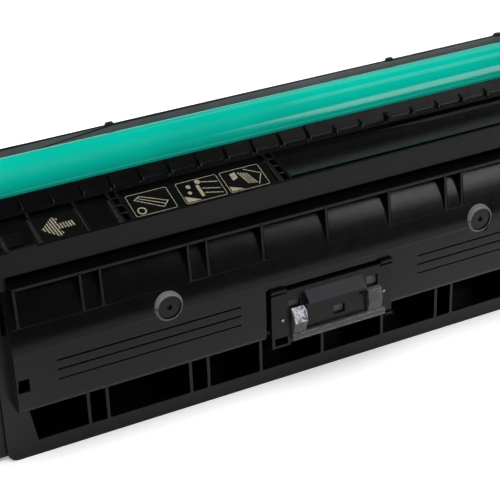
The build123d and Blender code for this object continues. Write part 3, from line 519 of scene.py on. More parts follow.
class Piece:
    """One finished mesh piece, shaped in a bmesh and left at the origin."""

    def __init__(self, name: str) -> None:
        """Starts an empty mesh.

        Args:
            name: Name of the piece.
        """
        self.name = name
        self.bm = bmesh.new()
        self.extra: list[Material] = []

    @classmethod
    def copy_of(cls, node: str, ending: str = "_moulded") -> "Piece":
        """Starts from a merged copy of a CAD node with its flat faces joined and cut into triangles.

        Args:
            node: Name of the CAD node.
            ending: Added to that name for the name of the piece.

        Returns:
            The piece, ready for its edges to be rounded.
        """
        piece = cls(node + ending)
        piece.bm.from_mesh(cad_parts[node].data)
        bmesh.ops.remove_doubles(piece.bm, verts=piece.bm.verts, dist=MERGE * MM)
        bmesh.ops.dissolve_limit(
            piece.bm, angle_limit=math.radians(FLAT_DEGREES), use_dissolve_boundaries=False,
            verts=piece.bm.verts, edges=piece.bm.edges, delimit=set(),
        )
        bmesh.ops.triangulate(
            piece.bm, faces=piece.bm.faces, quad_method="BEAUTY", ngon_method="BEAUTY",
        )
        return piece

    @staticmethod
    def is_sliver(face: Face) -> bool:
        """Tells whether a face is too thin to have a true direction.

        Args:
            face: Face to test.

        Returns:
            True for a face under a hundredth of a millimetre wide.
        """
        return face.calc_area() < SLIVER_SHARE * MM * face.calc_perimeter()

    def round_edges(self, width: float, segments: int = 2) -> "Piece":
        """Rounds the sharp edges that touch no sliver.

        Args:
            width: Width of the rounding in mm.
            segments: Steps of the rounding.

        Returns:
            The same piece.
        """
        limit = math.radians(ROUND_DEGREES)
        edges = [
            edge for edge in self.bm.edges
            if len(edge.link_faces) == 2 and edge.calc_face_angle(0.0) > limit
            and not any(self.is_sliver(face) for face in edge.link_faces)
        ]
        bmesh.ops.bevel(
            self.bm, geom=edges, offset=width * MM, offset_type="OFFSET", segments=segments,
            profile=0.5, affect="EDGES", clamp_overlap=False, material=-1, loop_slide=False,
        )
        return self

    def rings(self, low: float, high: float, pitch: float, wanted: FaceTest) -> "Piece":
        """Cuts some faces at level heights so that they can follow a curve.

        Args:
            low: Lowest height in mm, left uncut.
            high: Highest height in mm, left uncut.
            pitch: Distance from cut to cut in mm.
            wanted: Test that a face has to pass.

        Returns:
            The same piece.
        """
        for count in range(1, int((high - low) / pitch)):
            faces = [face for face in self.bm.faces if wanted(face)]
            edges = {edge for face in faces for edge in face.edges}
            verts = {vert for face in faces for vert in face.verts}
            bmesh.ops.bisect_plane(
                self.bm, geom=[*verts, *edges, *faces], dist=CUT * MM,
                plane_co=(0.0, 0.0, (low + count * pitch) * MM), plane_no=(0.0, 0.0, 1.0),
            )
        return self

    def mend(self, width: float) -> "Piece":
        """Takes out slivers and points that lie together.

        Args:
            width: Greatest width in mm of what is taken out.

        Returns:
            The same piece.
        """
        bmesh.ops.remove_doubles(self.bm, verts=self.bm.verts, dist=width * MM)
        bmesh.ops.dissolve_degenerate(self.bm, edges=self.bm.edges, dist=width * MM)
        return self

    def reshape(self, change: Reshape) -> "Piece":
        """Moves points in the cross section of the cartridge.

        Args:
            change: Takes length, depth and height of a point in mm and gives its new depth and
                height, or None where the point stays.

        Returns:
            The same piece.
        """
        for vert in self.bm.verts:
            moved = change(vert.co.x / MM, vert.co.y / MM + PLATE_TO_MIDDLE, vert.co.z / MM)
            if moved is not None:
                vert.co = spot(vert.co.x / MM, *moved)
        return self

    def paint(self, material: Material, wanted: FaceTest) -> "Piece":
        """Gives some faces a finish of their own.

        Args:
            material: Finish of those faces.
            wanted: Test that a face has to pass.

        Returns:
            The same piece.
        """
        self.extra.append(material)
        for face in self.bm.faces:
            if wanted(face):
                face.material_index = len(self.extra)
        return self

    def finish(
        self, material: Material, body: Body, stands_for: Sequence[str] = (), smooth: float = 32.0,
    ) -> bpy.types.Object:
        """Makes the object and hangs it on its body.

        Args:
            material: Finish of the piece.
            body: Body that the piece moves with.
            stands_for: CAD nodes that the piece replaces.
            smooth: Angle in degrees under which neighbouring faces shade as one.

        Returns:
            The new object.
        """
        limit = math.radians(smooth)
        for edge in self.bm.edges:
            thin = any(self.is_sliver(face) for face in edge.link_faces)
            edge.smooth = thin or (len(edge.link_faces) == 2 and edge.calc_face_angle(0.0) < limit)
        for face in self.bm.faces:
            face.smooth = True
        mesh = bpy.data.meshes.new(self.name)
        self.bm.to_mesh(mesh)
        self.bm.free()
        for finish in (material, *self.extra):
            mesh.materials.append(finish)
        thing = bpy.data.objects.new(self.name, mesh)
        bpy.context.scene.collection.objects.link(thing)
        weigh = thing.modifiers.new("face_weights", "WEIGHTED_NORMAL")
        weigh.keep_sharp = True
        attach(thing, body.value)
        if stands_for:
            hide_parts(*stands_for)
        LOG.info("piece %s on %s: %d faces", self.name, body.value, len(mesh.polygons))
        return thing


def mould(node: str, edge: float, material: Material, change: Reshape | None = None) -> None:
    """Puts a copy with rounded edges in the place of a CAD node of the housing.

    Args:
        node: Name of the node.
        edge: Width of the rounding in mm.
        material: Finish of the copy.
        change: Moves points before the rounding, as Piece.reshape does.
    """
    piece = Piece.copy_of(node)
    if change is not None:
        piece.reshape(change)
    piece.round_edges(edge).finish(material, Body.HOUSING, [node])


def dress(node: str, material: Material) -> None:
    """Gives a CAD node its finish.

    Args:
        node: Name of the node.
        material: Finish of the node.
    """
    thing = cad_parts[node]
    thing.data.materials.clear()
    thing.data.materials.append(material)
    LOG.info("node %s dressed in %s", node, material.name)


@dataclass(frozen=True)
class Arc:
    """Arc of a cross section through three points, each a depth and a height in mm."""

    start: Point
    middle: Point
    end: Point

    def depth(self, height: float) -> float:
        """Depth of the arc at a height.

        Args:
            height: Height in mm.

        Returns:
            The depth on the side of the middle point.
        """
        first, second, third = Vector(self.start), Vector(self.middle), Vector(self.end)
        side, far = second - first, third - first
        cross = 2.0 * (side.x * far.y - side.y * far.x)
        centre = first + Vector((
            (far.y * side.length_squared - side.y * far.length_squared) / cross,
            (side.x * far.length_squared - far.x * side.length_squared) / cross,
        ))
        reach = (first - centre).length_squared - (height - centre.y) ** 2
        way = 1.0 if second.x > centre.x else -1.0
        return centre.x + way * math.sqrt(max(0.0, reach))


@dataclass
class Work:
    """Sub-assembly that is made and dressed in the shared finishes."""

    palette: Palette

    def build(self) -> None:
        """Makes the pieces and dresses the nodes."""
        raise NotImplementedError


@dataclass
class ShellWork(Work):
    """Base frame, hopper, front cover and rear housing.

    The arcs are the section of the front wall as constructed, and the sweep gives the depth of
    the finished wall by height.
    """

    edge: float = 0.3
    fine_edge: float = 0.24
    rim_edge: float = 0.45
    # The next three pick the faces of the rear rim that get the painted reflection.
    rim_above: float = 110.6
    rim_lean: float = 0.38
    rim_slack: float = 0.15
    wall_low: float = 58.0
    wall_knee: float = 70.4
    wall_top: float = 85.7
    upper_arc: Arc = Arc((-3.4, 70.4), (4.6, 77.4), (8.0, 85.7))
    lower_arc: Arc = Arc((-9.2, 58.0), (-7.8, 65.3), (-3.4, 70.4))
    sweep: tuple[Point, ...] = (
        (58.0, -9.2), (60.0, -9.02), (62.0, -8.62), (64.0, -8.06), (66.0, -7.42), (68.8, -6.5),
        (72.0, -5.4), (75.0, -4.3), (78.0, -3.05), (80.5, -1.8), (83.0, -0.3), (84.4, 1.0), (85.7, 8.0),
    )
    wall_thick: float = 3.3
    wall_skin: float = 0.6
    wall_outer: float = -0.4
    skin_slack: float = 0.3
    end_slack: float = 0.02
    ring_pitch: float = 0.97
    sliver: float = 0.03
    gusset_tip: Point = (-4.85, 68.6)
    gusset_reach: float = 1.6
    gusset_slack: float = 0.1
    boss_centres: Point = (-80.0, 80.0)
    boss_height: float = 61.4
    boss_reach: float = 6.7
    bore_reach: float = 5.25
    flank_least: float = 1.2

    def swept(self, height: float) -> float:
        """Depth of the smooth front wall at a height.

        Args:
            height: Height in mm.

        Returns:
            Depth on the sweep from the face up to the lip.
        """
        for (low, near), (high, far) in zip(self.sweep, self.sweep[1:]):
            if height <= high:
                return near + (far - near) * (height - low) / (high - low)
        return self.sweep[-1][1]

    def softened(self, height: float) -> float:
        """Depth of the sweep with its corners rounded.

        Args:
            height: Height in mm.

        Returns:
            Mean of the sweep over a short stretch round the height.
        """
        steps = (-1.0, -0.5, 0.0, 0.5, 1.0)
        return sum(self.swept(height + step) for step in steps) / len(steps)

    def drawn(self, height: float) -> float:
        """Depth of the front wall as constructed.

        Args:
            height: Height in mm.

        Returns:
            Depth on the two arcs of its section.
        """
        return (self.upper_arc if height > self.wall_knee else self.lower_arc).depth(height)

    def on_skin(self, face: Face) -> bool:
        """Tells whether a face belongs to the outer skin of the curved wall.

        Args:
            face: Face of the front cover.

        Returns:
            True when all its corners lie on the arcs.
        """
        for vert in face.verts:
            height = vert.co.z / MM
            if not self.wall_low - self.end_slack < height < self.wall_top + self.end_slack:
                return False
            if abs(vert.co.y / MM + PLATE_TO_MIDDLE - self.drawn(height)) > self.skin_slack:
                return False
        return True

    def cover_shape(self, x: float, y: float, z: float) -> Point | None:
        """Lets the front wall run in one smooth sweep from its face up to the lip, gussets with it.

        Args:
            x: Length of a point in mm.
            y: Its depth.
            z: Its height.

        Returns:
            New depth and height, or None where the point stays.
        """
        if math.dist((y, z), self.gusset_tip) < self.gusset_slack:
            return y - self.gusset_reach, z
        if not self.wall_low < z < self.wall_top - self.end_slack:
            return None
        inward = y - self.drawn(z)
        if self.wall_outer < inward < self.wall_skin:
            return self.softened(z), z
        if self.wall_skin <= inward < self.wall_thick:
            return self.softened(z) + inward, z
        return None

    def boss_flank(self, face: Face) -> bool:
        """Tells whether a face is on the rounded side of a screw boss, which gets a painted highlight.

        Args:
            face: Face of the front cover.

        Returns:
            True for the side faces of the bosses.
        """
        middle = face.calc_center_median() / MM
        for centre in self.boss_centres:
            reach = math.hypot(middle.x - centre, middle.z - self.boss_height)
            outward = face.normal.x * (middle.x - centre) + face.normal.z * (middle.z - self.boss_height)
            if self.bore_reach < reach < self.boss_reach and outward > self.flank_least:
                return True
        return False

    def rim_reflection_face(self, face: Face) -> bool:
        """Tells whether a face is on the front of the rear rim, which is painted paler as a painted
        reflection.

        Args:
            face: Face of the rear housing.

        Returns:
            True for the faces over the drum that look to the front.
        """
        high = face.calc_center_median().z / MM > self.rim_above
        leaning = abs(face.normal.z - self.rim_lean) < self.rim_slack
        return high and face.normal.y < -0.5 and leaning

    def build(self) -> None:
        """Makes and dresses the shell."""
        palette = self.palette
        mould("base_frame", self.edge, palette.shell)
        cover = Piece.copy_of("front_cover")
        cover.rings(self.wall_low, self.wall_top, self.ring_pitch, self.on_skin).mend(self.sliver)
        cover.reshape(self.cover_shape).mend(self.sliver)
        # The boss flanks get the lighter grey of the painted highlight.
        cover.round_edges(self.fine_edge).paint(palette.boss, self.boss_flank)
        cover.finish(palette.cover, Body.HOUSING, ["front_cover"])
        rear = Piece.copy_of("rear_housing").round_edges(self.rim_edge, 3)
        # The front of the rim gets the paler grey of the painted reflection.
        rear.paint(palette.rim, self.rim_reflection_face)
        rear.finish(palette.shell, Body.HOUSING, ["rear_housing"])
        dress("hopper", palette.hopper)
        dress("fill_cap", palette.cap)


@dataclass
class BossPlugs(Work):
    """Round inserts in the two screw bosses of the cover."""

    edge: float = 0.2

    def build(self) -> None:
        """Makes the inserts."""
        mould("cover_plugs", self.edge, self.palette.cover)


@dataclass
class TrayWork(Work):
    """Upper frame with its tray, rungs and pad. Places are depth and height in mm."""

    edge: float = 0.3
    rung_edge: float = 0.15
    band_front: float = 2.64
    band_top: float = 96.55
    band_back: float = 5.3
    band_lean: float = 0.1
    floor_back: Point = (22.0, 102.0)
    back_foot: Point = (24.8, 102.85)
    groove_foot: Point = (24.8, 100.6)
    groove_from: float = -11.0
    wall_foot: Point = (27.0, 105.14)
    wall_slope: float = 0.632
    panel_front: float = 5.0
    panel_joint: float = 5.8
    panel_slack: float = 0.05
    panel_slope: float = 0.2
    short_fins_from: float = 15.0
    fin_end: Point = (33.2, 109.15)
    fin_slack: float = 0.16
    fin_below: float = 0.2
    fin_above: float = 0.02
    fin_cut: float = 3.0
    slot_back: float = 29.0
    slot_width: float = 1.1
    slack: float = 0.06

    def panel_shape(self, x: float, y: float, z: float) -> Point | None:
        """Widens the joint in front of the panel.

        Args:
            x: Length of a point in mm.
            y: Its depth.
            z: Its height.

        Returns:
            New depth and height, or None where the point stays.
        """
        if y < self.panel_front + self.panel_slack:
            return self.panel_joint, z + (self.panel_joint - y) * self.panel_slope
        return None

    def frame_shape(self, x: float, y: float, z: float) -> Point | None:
        """Leans the band face, deepens a groove behind the tray, shortens fins and narrows slots.

        Args:
            x: Length of a point in mm.
            y: Its depth.
            z: Its height.

        Returns:
            New depth and height, or None where the point stays.
        """
        if y < self.band_back and z < self.band_top:
            return self.band_front - (self.band_top - z) * self.band_lean, z
        if abs(y - self.floor_back[0]) < self.slack and abs(z - self.floor_back[1]) < self.slack:
            return self.groove_foot if x > self.groove_from else self.back_foot
        at_fin_end = abs(y - self.fin_end[0]) < self.fin_slack
        level = -self.fin_below < z - self.fin_end[1] < self.fin_above
        if x > self.short_fins_from and at_fin_end and level:
            return y - self.fin_cut, z - self.fin_cut * self.wall_slope
        if abs(y - self.slot_back) < self.slack:
            depth = self.wall_foot[1] + (y - self.wall_foot[0]) * self.wall_slope - z
            near = self.wall_foot[0] + self.slot_width
            return near, self.wall_foot[1] + self.slot_width * self.wall_slope - depth
        return None

    def build(self) -> None:
        """Makes and dresses the tray."""
        palette = self.palette
        mould("upper_frame", self.edge, palette.tray, self.frame_shape)
        mould("tray_panel", self.edge, palette.tray, self.panel_shape)
        mould("guide_pad", self.edge, palette.plate)
        mould("ladder_rungs", self.rung_edge, palette.tray)
        dress("arrow_plate", palette.plate)
        dress("picture_plate", palette.plate)


class Print:
    """Flat shapes of ink on a marking plate, drawn in mm along and across it."""

    def __init__(self, plate: str, front: Point, back: Point, thickness: float = 0.06) -> None:
        """Starts with no shapes.

        Args:
            plate: CAD node of the plate.
            front: Depth and height of the front edge of its upper face, in mm.
            back: Depth and height of the back edge.
            thickness: Thickness of the ink in mm.
        """
        self.piece = Piece(plate + "_print")
        self.front = front
        self.slope = (back[1] - front[1]) / (back[0] - front[0])
        self.thickness = thickness

    def outline(self, points: Sequence[Point]) -> Face:
        """Adds one filled shape.

        Args:
            points: Corners as distance along the cartridge and depth, in mm.

        Returns:
            The face of the shape.
        """
        corners = [self.piece.bm.verts.new((x, y, 0.0)) for x, y in points]
        return self.piece.bm.faces.new(corners)

    def disc(self, x: float, y: float, radius: float, hole: float = 0.0) -> None:
        """Adds a disc or a ring.

        Args:
            x: Distance of its centre along the cartridge.
            y: Depth of its centre.
            radius: Outer radius in mm.
            hole: Radius of the hole in mm, or 0.
        """
        circle = bmesh.ops.create_circle(
            self.piece.bm, cap_ends=True, segments=28, radius=radius,
            matrix=Matrix.Translation((x, y, 0.0)),
        )
        if hole:
            self.hollow({face for vert in circle["verts"] for face in vert.link_faces}, radius - hole)

    def hollow(self, faces: set[Face], width: float) -> None:
        """Turns filled faces into lines along their outline.

        Args:
            faces: Faces to open.
            width: Width of the line in mm.
        """
        bmesh.ops.inset_region(
            self.piece.bm, faces=list(faces), thickness=width, use_even_offset=True, use_boundary=True,
        )
        bmesh.ops.delete(self.piece.bm, geom=list(faces), context="FACES")

    def bar(self, start: Point, end: Point, width: float) -> None:
        """Adds a straight bar.

        Args:
            start: Middle of one end.
            end: Middle of the other end.
            width: Width in mm.
        """
        along = Vector((end[0] - start[0], end[1] - start[1]))
        side = Vector((-along.y, along.x)).normalized() * (width / 2)
        self.outline([
            (start[0] + side.x, start[1] + side.y), (start[0] - side.x, start[1] - side.y),
            (end[0] - side.x, end[1] - side.y), (end[0] + side.x, end[1] + side.y),
        ])

    def frame(
        self, left: float, right: float, near: float, far: float,
        corner: float = 1.0, width: float = 0.26,
    ) -> None:
        """Adds the outline of a box with rounded corners.

        Args:
            left: Left side in mm.
            right: Right side.
            near: Depth of the front side.
            far: Depth of the back side.
            corner: Length that the rounding takes off each side.
            width: Width of the line.
        """
        box = self.outline([(left, near), (right, near), (right, far), (left, far)])
        rounded = bmesh.ops.bevel(
            self.piece.bm, geom=list(box.verts), offset=corner, offset_type="OFFSET", segments=4,
            profile=0.5, affect="VERTICES", material=-1,
        )
        inside = {face for vert in rounded["verts"] for face in vert.link_faces}
        self.hollow(inside, width)

    def hatch(self, pitch: float, share: float, lean: float) -> None:
        """Cuts every shape into slanted stripes and takes the gaps out.

        Args:
            pitch: Distance from stripe to stripe in mm.
            share: Inked share of the pitch.
            lean: Angle of the stripes in degrees from the depth direction.
        """
        bm = self.piece.bm
        across = Vector((math.cos(math.radians(lean)), math.sin(math.radians(lean)), 0.0))
        reach = [vert.co.dot(across) for vert in bm.verts]
        first = math.floor(min(reach) / pitch)
        last = math.ceil(max(reach) / pitch)
        for count in range(first, last):
            for edge in (count * pitch, (count + share) * pitch):
                bmesh.ops.bisect_plane(
                    bm, geom=bm.verts[:] + bm.edges[:] + bm.faces[:], dist=0.00001,
                    plane_co=across * edge, plane_no=across,
                )
        gaps = [
            face for face in bm.faces if (face.calc_center_median().dot(across) / pitch) % 1.0 > share
        ]
        bmesh.ops.delete(bm, geom=gaps, context="FACES")

    def lay(self, material: Material) -> bpy.types.Object:
        """Gives the ink its thickness and lays it on the plate.

        Args:
            material: Finish of the ink.

        Returns:
            The new object.
        """
        bm = self.piece.bm
        skin = bmesh.ops.extrude_face_region(bm, geom=bm.faces[:])
        raised = [item for item in skin["geom"] if isinstance(item, bmesh.types.BMVert)]
        bmesh.ops.translate(bm, verts=raised, vec=(0.0, 0.0, self.thickness))
        bmesh.ops.recalc_face_normals(bm, faces=bm.faces)
        lean = Matrix.Identity(4)
        lean[2][1] = self.slope
        lean[2][3] = self.front[1] - self.slope * self.front[0] - self.thickness / 4
        middle = Matrix.Translation((0.0, -PLATE_TO_MIDDLE * MM, 0.0))
        bmesh.ops.transform(bm, verts=bm.verts, matrix=middle @ Matrix.Scale(MM, 4) @ lean)
        return self.piece.finish(material, Body.HOUSING, smooth=20.0)


def upper_face(node: str) -> tuple[Point, Point]:
    """Front and back edge of the sloping upper face of a plate.

    Args:
        node: CAD node of the plate.

    Returns:
        Depth and height of the front edge, then of the back edge, in mm behind the front plate.
    """
    points = [vert.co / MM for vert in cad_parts[node].data.vertices]
    near = min(point.y for point in points)
    far = max(point.y for point in points)
    slack = 0.05
    front = max(point.z for point in points if point.y < near + slack)
    back = max(point.z for point in points if point.y > far - slack)
    return (near + PLATE_TO_MIDDLE, front), (far + PLATE_TO_MIDDLE, back)


@dataclass
class PrintWork(Work):
    """Arrow and three generic picture frames on the marking plates, sizes in mm."""

    tip: float = -125.8
    head_back: float = -117.0
    tail: float = -110.9
    axis: float = 14.4
    head_half: float = 5.8
    barb_reach: float = 2.2
    barb_cut: float = 1.5
    shaft_half: float = 1.6
    stripe: float = 1.28
    stripe_share: float = 0.5
    stripe_lean: float = 8.0
    frames: tuple[Point, ...] = ((-85.0, -65.6), (-61.4, -41.6), (-40.0, -20.8))
    near: float = 8.2
    far: float = 21.4

    def arrow(self) -> None:
        """Draws the striped arrow."""
        ink = Print("arrow_plate", *upper_face("arrow_plate"))
        half = [
            (self.head_back - self.barb_reach, self.head_half),
            (self.head_back, self.head_half - self.barb_cut),
            (self.head_back - self.barb_cut, self.shaft_half), (self.tail, self.shaft_half),
        ]
        near_side = [(x, self.axis - y) for x, y in half]
        far_side = [(x, self.axis + y) for x, y in reversed(half)]
        ink.outline([(self.tip, self.axis), *near_side, *far_side])
        ink.hatch(self.stripe, self.stripe_share, self.stripe_lean)
        ink.lay(self.palette.ink)

    def pictures(self) -> None:
        """Draws the frames with simple shapes inside them."""
        ink = Print("picture_plate", *upper_face("picture_plate"))
        near, far = self.near, self.far
        for left, right in self.frames:
            ink.frame(left, right, near, far)
        first, second, third = (left for left, _right in self.frames)
        # A ring and a long open bar
        ink.disc(first + 3.7, near + 2.9, 2.1, 1.45)
        for step in (0.0, 1.5, 3.0):
            start = (first + 3.0 + step, far - 3.4 + step * 0.5)
            ink.bar(start, (first + 13.8 + step, near + 2.2 + step), 0.4)
        ink.bar((first + 2.8, far - 3.6), (first + 6.2, far - 1.7), 0.4)
        ink.bar((first + 13.6, near + 2.0), (first + 17.2, near + 5.4), 0.4)
        # Discs, a post, a wedge and three arms
        ink.disc(second + 5.0, far - 3.6, 1.1)
        ink.disc(second + 4.2, far - 7.2, 0.9)
        ink.disc(second + 10.2, far - 1.9, 1.3)
        left, right = second + 8.4, second + 9.9
        ink.outline([(left, near + 2.4), (right, near + 2.4), (right, far - 3.6), (left, far - 3.6)])
        ink.outline([(second + 0.9, near + 0.8), (second + 7.6, near + 0.8), (second + 0.9, near + 4.6)])
        for depth in (4.2, 7.0):
            ink.bar((second + 10.6, near + depth), (second + 18.4, near + depth - 2.2), 0.45)
        ink.bar((second + 11.6, far - 2.4), (second + 18.8, far - 4.4), 0.45)
        # A wedge, a small block, slanted bars and a bent line
        ink.outline([(third + 0.9, near + 0.8), (third + 6.8, near + 0.8), (third + 0.9, near + 3.8)])
        left, right = third + 4.2, third + 7.0
        ink.outline([(left, far - 6.4), (right, far - 5.4), (right, far - 1.6), (left, far - 2.4)])
        for step in (0.0, 1.2, 2.4, 3.6):
            start = (third + 8.2 + step, far - 2.4 - step * 0.4)
            ink.bar(start, (third + 10.4 + step, near + 3.0 - step * 0.2), 0.5)
        ink.bar((third + 11.4, far - 1.2), (third + 18.2, far - 5.8), 0.4)
        ink.bar((third + 18.2, far - 5.8), (third + 14.4, near + 1.4), 0.4)
        ink.lay(self.palette.ink)

    def build(self) -> None:
        """Prints both plates."""
        self.arrow()
        self.pictures()


@dataclass
class ChipWork(Work):
    """Chip holder with its board, light guide and rivets."""

    edge: float = 0.16
    glint_edge: float = 0.1
    pin_edge: float = 0.25
    hood_low: float = 46.0
    prism_right: float = -15.0
    prism_foot: float = 37.6

    def on_hood(self, face: Face) -> bool:
        """Tells whether a face is on the slanted top of the hood, which gets a painted highlight.

        Args:
            face: Face of the chip holder.

        Returns:
            True for the sloping faces that look up to the front.
        """
        high = face.calc_center_median().z / MM > self.hood_low
        return high and face.normal.z > 0.6 and face.normal.y < -0.5

    def on_edge(self, face: Face) -> bool:
        """Tells whether a face is one of the narrow rounded edges.

        Args:
            face: Face of the light guide.

        Returns:
            True for a strip narrower than three edge widths.
        """
        return 2.0 * face.calc_area() / face.calc_perimeter() < 3.0 * self.glint_edge * MM

    def in_left_prism(self, face: Face) -> bool:
        """Tells whether a face is on the upper part of the left prism.

        Args:
            face: Face of the light guide.

        Returns:
            True for the faces above its foot.
        """
        middle = face.calc_center_median() / MM
        return middle.x < self.prism_right and middle.z > self.prism_foot

    def build(self) -> None:
        """Makes and dresses the chip holder."""
        palette = self.palette
        holder = Piece.copy_of("chip_holder").round_edges(self.edge)
        # The slanted top of the hood gets the lighter grey of the painted highlight.
        holder.paint(palette.hood, self.on_hood).finish(palette.holder, Body.HOUSING, ["chip_holder"])
        guide = Piece.copy_of("light_guide", "_polished").round_edges(self.glint_edge, 1)
        # The narrow edges get painted glints and the upper left prism gets painted highlight streaks.
        guide.paint(palette.glint, self.on_edge).paint(palette.prism_highlight, self.in_left_prism)
        guide.finish(palette.clear, Body.HOUSING, ["light_guide"], smooth=20.0)
        pins = Piece.copy_of("holder_pins", "_turned").round_edges(self.pin_edge)
        pins.finish(palette.contact, Body.HOUSING, ["holder_pins"])
        dress("chip_board", palette.warm_pad)


@dataclass
class CapWork(Work):
    """End caps with their screws and spring contacts."""

    edge: float = 0.5

    def build(self) -> None:
        """Makes and dresses the end caps."""
        for side in ("left", "right"):
            mould("end_cap_" + side, self.edge, self.palette.cap)
        dress("cap_screws", self.palette.zinc)
        dress("contact_plates", self.palette.contact)
        dress("drum_pin", self.palette.steel)


class InnerWork(Work):
    """Drum, rollers, blades and stirrer."""

    def build(self) -> None:
        """Dresses what turns, then what wipes or holds it, body by body."""
        palette = self.palette
        finishes = {
            Body.DRUM: {
                "drum_tube": palette.drum, "drum_flange": palette.gear, "drum_gear": palette.gear,
            },
            Body.CHARGE: {"charge_core": palette.steel, "charge_roller": palette.rubber},
            Body.DEVELOPER: {
                "developer_shaft": palette.steel, "developer_roller": palette.sleeve,
                "developer_gear": palette.gear,
            },
            Body.SUPPLY: {
                "supply_shaft": palette.steel, "supply_roller": palette.foam,
                "supply_gear": palette.gear,
            },
            Body.STIRRER: {
                "stirrer_shaft": palette.bush, "stirrer_sheet": palette.film,
                "stirrer_gear": palette.gear,
            },
            Body.HOUSING: {
                "charge_bushes": palette.bush, "roller_bushes": palette.bush,
                "cleaning_blade": palette.urethane, "blade_bracket": palette.zinc,
                "blade_screws": palette.zinc, "metering_blade": palette.bronze,
            },
        }
        for body, group in finishes.items():
            LOG.info("body %s", body.value)
            for node, material in group.items():
                dress(node, material)


@dataclass(frozen=True)
class SoftBox:
    """Rectangular lamp that points at the cartridge."""

    name: str
    place: tuple[float, float, float]
    size: Point
    power: float
    mirrored: bool = True

    def hang(self) -> None:
        """Adds the lamp to the scene."""
        lamp = bpy.data.lights.new(self.name, "AREA")
        lamp.shape = "RECTANGLE"
        lamp.size, lamp.size_y = self.size
        lamp.energy = self.power
        thing = bpy.data.objects.new(self.name, lamp)
        aim = Vector((0.0, 0.0, 0.06)) - Vector(self.place)
        turn = aim.to_track_quat("-Z", "Y").to_matrix().to_4x4()
        thing.matrix_world = Matrix.Translation(self.place) @ turn
        thing.visible_glossy = self.mirrored
        bpy.context.scene.collection.objects.link(thing)


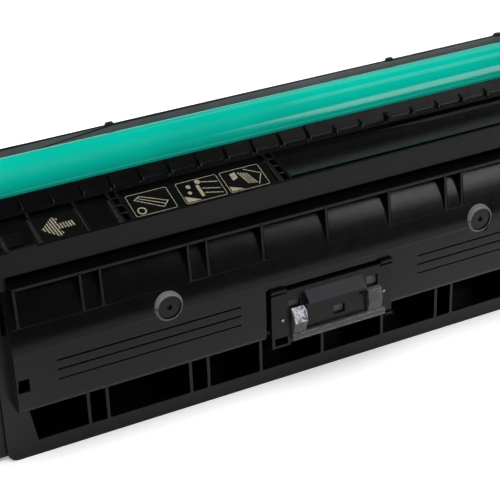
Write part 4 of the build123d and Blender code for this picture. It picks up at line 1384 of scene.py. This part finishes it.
@dataclass
class Studio:
    """White table, pale backdrop, soft lights and the camera."""

    table_front: float = -0.8
    table_back: float = 5.0
    table_half: float = 5.0
    floor_colour: Colour = (0.9, 0.9, 0.9)
    floor_lift: float = 0.3
    # Painted light falloff on the table, seen in reflections only: its colour for reflected rays is
    # darker towards the front and the left.
    front_falloff: Point = (0.42, 0.8)
    front_falloff_span: Point = (-0.2, -0.06)
    side_falloff: Point = (0.7, 1.25)
    side_falloff_span: Point = (-0.2, 0.25)
    sky_level: float = 0.024
    backdrop_level: float = 0.224
    backdrop_top: float = 0.2
    backdrop_blend: float = 0.1
    backdrop_from: Point = (0.15, 0.45)
    camera_place: tuple[float, float, float] = (-0.29483, -0.55910, 0.40245)
    camera_right: tuple[float, float, float] = (0.8908, -0.4534, -0.0299)
    camera_up: tuple[float, float, float] = (0.2446, 0.4232, 0.8724)
    lens: float = 110.23
    boxes: list[SoftBox] = field(default_factory=lambda: [
        SoftBox("top_fill", (-0.35, -0.55, 1.9), (2.4, 2.4), 56.0, mirrored=False),
        SoftBox("front_low", (1.196, -1.238, 0.7), (1.07, 0.62), 5.0),
        SoftBox("front_high", (0.93, 0.0, 1.48), (0.5, 0.5), 0.5),
        SoftBox("back_left", (-0.86, 1.16, 1.12), (0.7, 0.7), 18.0),
        SoftBox("back_right", (1.06, 1.26, 1.01), (1.0, 0.8), 0.7),
    ])

    def table(self) -> None:
        """Lays the white table under the cartridge, white to the camera and with a painted light falloff
        in what it shows to reflections, darker towards the front and the left.
        """
        piece = bmesh.new()
        middle = Matrix.Translation((0.0, (self.table_back + self.table_front) / 2, 0.0))
        spread = Matrix.Diagonal((self.table_half, (self.table_back - self.table_front) / 2, 1.0, 1.0))
        bmesh.ops.create_grid(piece, x_segments=1, y_segments=1, size=1.0, matrix=middle @ spread)
        mesh = bpy.data.meshes.new("table")
        piece.to_mesh(mesh)
        piece.free()
        graph = Graph.of_material("table_white")
        seen = graph.add("LightPath")
        axes = graph.put(graph.add("SeparateXYZ"), Vector=graph.place())
        # Painted falloff: darker towards the front and the left, for all but camera rays.
        near = graph.spread(axes.outputs["Y"], *self.front_falloff, *self.front_falloff_span)
        side = graph.spread(axes.outputs["X"], *self.side_falloff, *self.side_falloff_span)
        share = graph.put(graph.add("Math", operation="MULTIPLY"), i0=near, i1=side)
        tone = graph.add("Mix", data_type="FLOAT")
        graph.put(tone, i0=seen.outputs["Is Camera Ray"], i2=share.outputs[0], i3=1.0)
        level = graph.add("VectorMath", operation="SCALE")
        graph.put(level, i0=self.floor_colour, i3=tone.outputs[0])
        paper = graph.put(graph.add("BsdfDiffuse"), Color=level.outputs[0])
        lift = graph.add("Math", operation="MULTIPLY")
        graph.put(lift, i0=seen.outputs["Is Camera Ray"], i1=self.floor_lift)
        glow = graph.put(graph.add("Emission"), Color=WHITE, Strength=lift.outputs[0])
        both = graph.put(graph.add("AddShader"), i0=paper.outputs[0], i1=glow.outputs[0])
        graph.put(graph.output, Surface=both.outputs[0])
        mesh.materials.append(graph.owner)
        thing = bpy.data.objects.new("table", mesh)
        bpy.context.scene.collection.objects.link(thing)

    def sky(self) -> None:
        """Sets a dark room with a pale backdrop behind the table, white where the camera looks."""
        graph = Graph(bpy.data.worlds.new("studio"), "OutputWorld")
        seen = graph.add("LightPath").outputs
        way = graph.put(graph.add("SeparateXYZ"), i0=graph.add("TexCoord").outputs["Generated"])
        behind = graph.spread(way.outputs["Y"], 0.0, 1.0, *self.backdrop_from)
        blend = self.backdrop_top + self.backdrop_blend
        below = graph.spread(way.outputs["Z"], 0.0, 1.0, blend, self.backdrop_top)
        both = graph.put(graph.add("Math", operation="MULTIPLY"), i0=behind, i1=below)
        room = graph.spread(both.outputs[0], self.sky_level, self.backdrop_level)
        open_view = graph.add("Math", operation="MAXIMUM")
        graph.put(open_view, i0=seen["Is Camera Ray"], i1=seen["Is Transmission Ray"])
        level = graph.spread(open_view.outputs[0], room, 1.0)
        back = graph.put(graph.add("Background"), Color=WHITE, Strength=level)
        graph.put(graph.output, Surface=back.outputs[0])
        bpy.context.scene.world = graph.owner

    def lamps(self) -> None:
        """Hangs the soft boxes."""
        for box in self.boxes:
            box.hang()

    def camera(self) -> None:
        """Puts the camera where the photograph was taken from."""
        data = bpy.data.cameras.new("camera")
        data.sensor_width = 36.0
        data.lens = self.lens
        data.clip_start = 0.01
        thing = bpy.data.objects.new("camera", data)
        right = Vector(self.camera_right).normalized()
        up = Vector(self.camera_up)
        up = (up - right * up.dot(right)).normalized()
        back = right.cross(up)
        turn = Matrix((right, up, back)).transposed().to_4x4()
        thing.matrix_world = Matrix.Translation(self.camera_place) @ turn
        bpy.context.scene.collection.objects.link(thing)
        bpy.context.scene.camera = thing

    def build(self) -> None:
        """Sets up the whole studio."""
        self.table()
        self.sky()
        self.lamps()
        self.camera()
        bpy.context.scene.view_settings.view_transform = "Standard"


def main() -> None:
    """Builds the cartridge and the studio round it."""
    logging.basicConfig(level=logging.INFO, format="%(name)s: %(message)s")
    palette = Palette()
    for work in (ShellWork, BossPlugs, TrayWork, PrintWork, ChipWork, CapWork, InnerWork):
        LOG.info("building %s", work.__name__)
        work(palette).build()
    Studio().build()


if __name__ == "__main__":
    main()
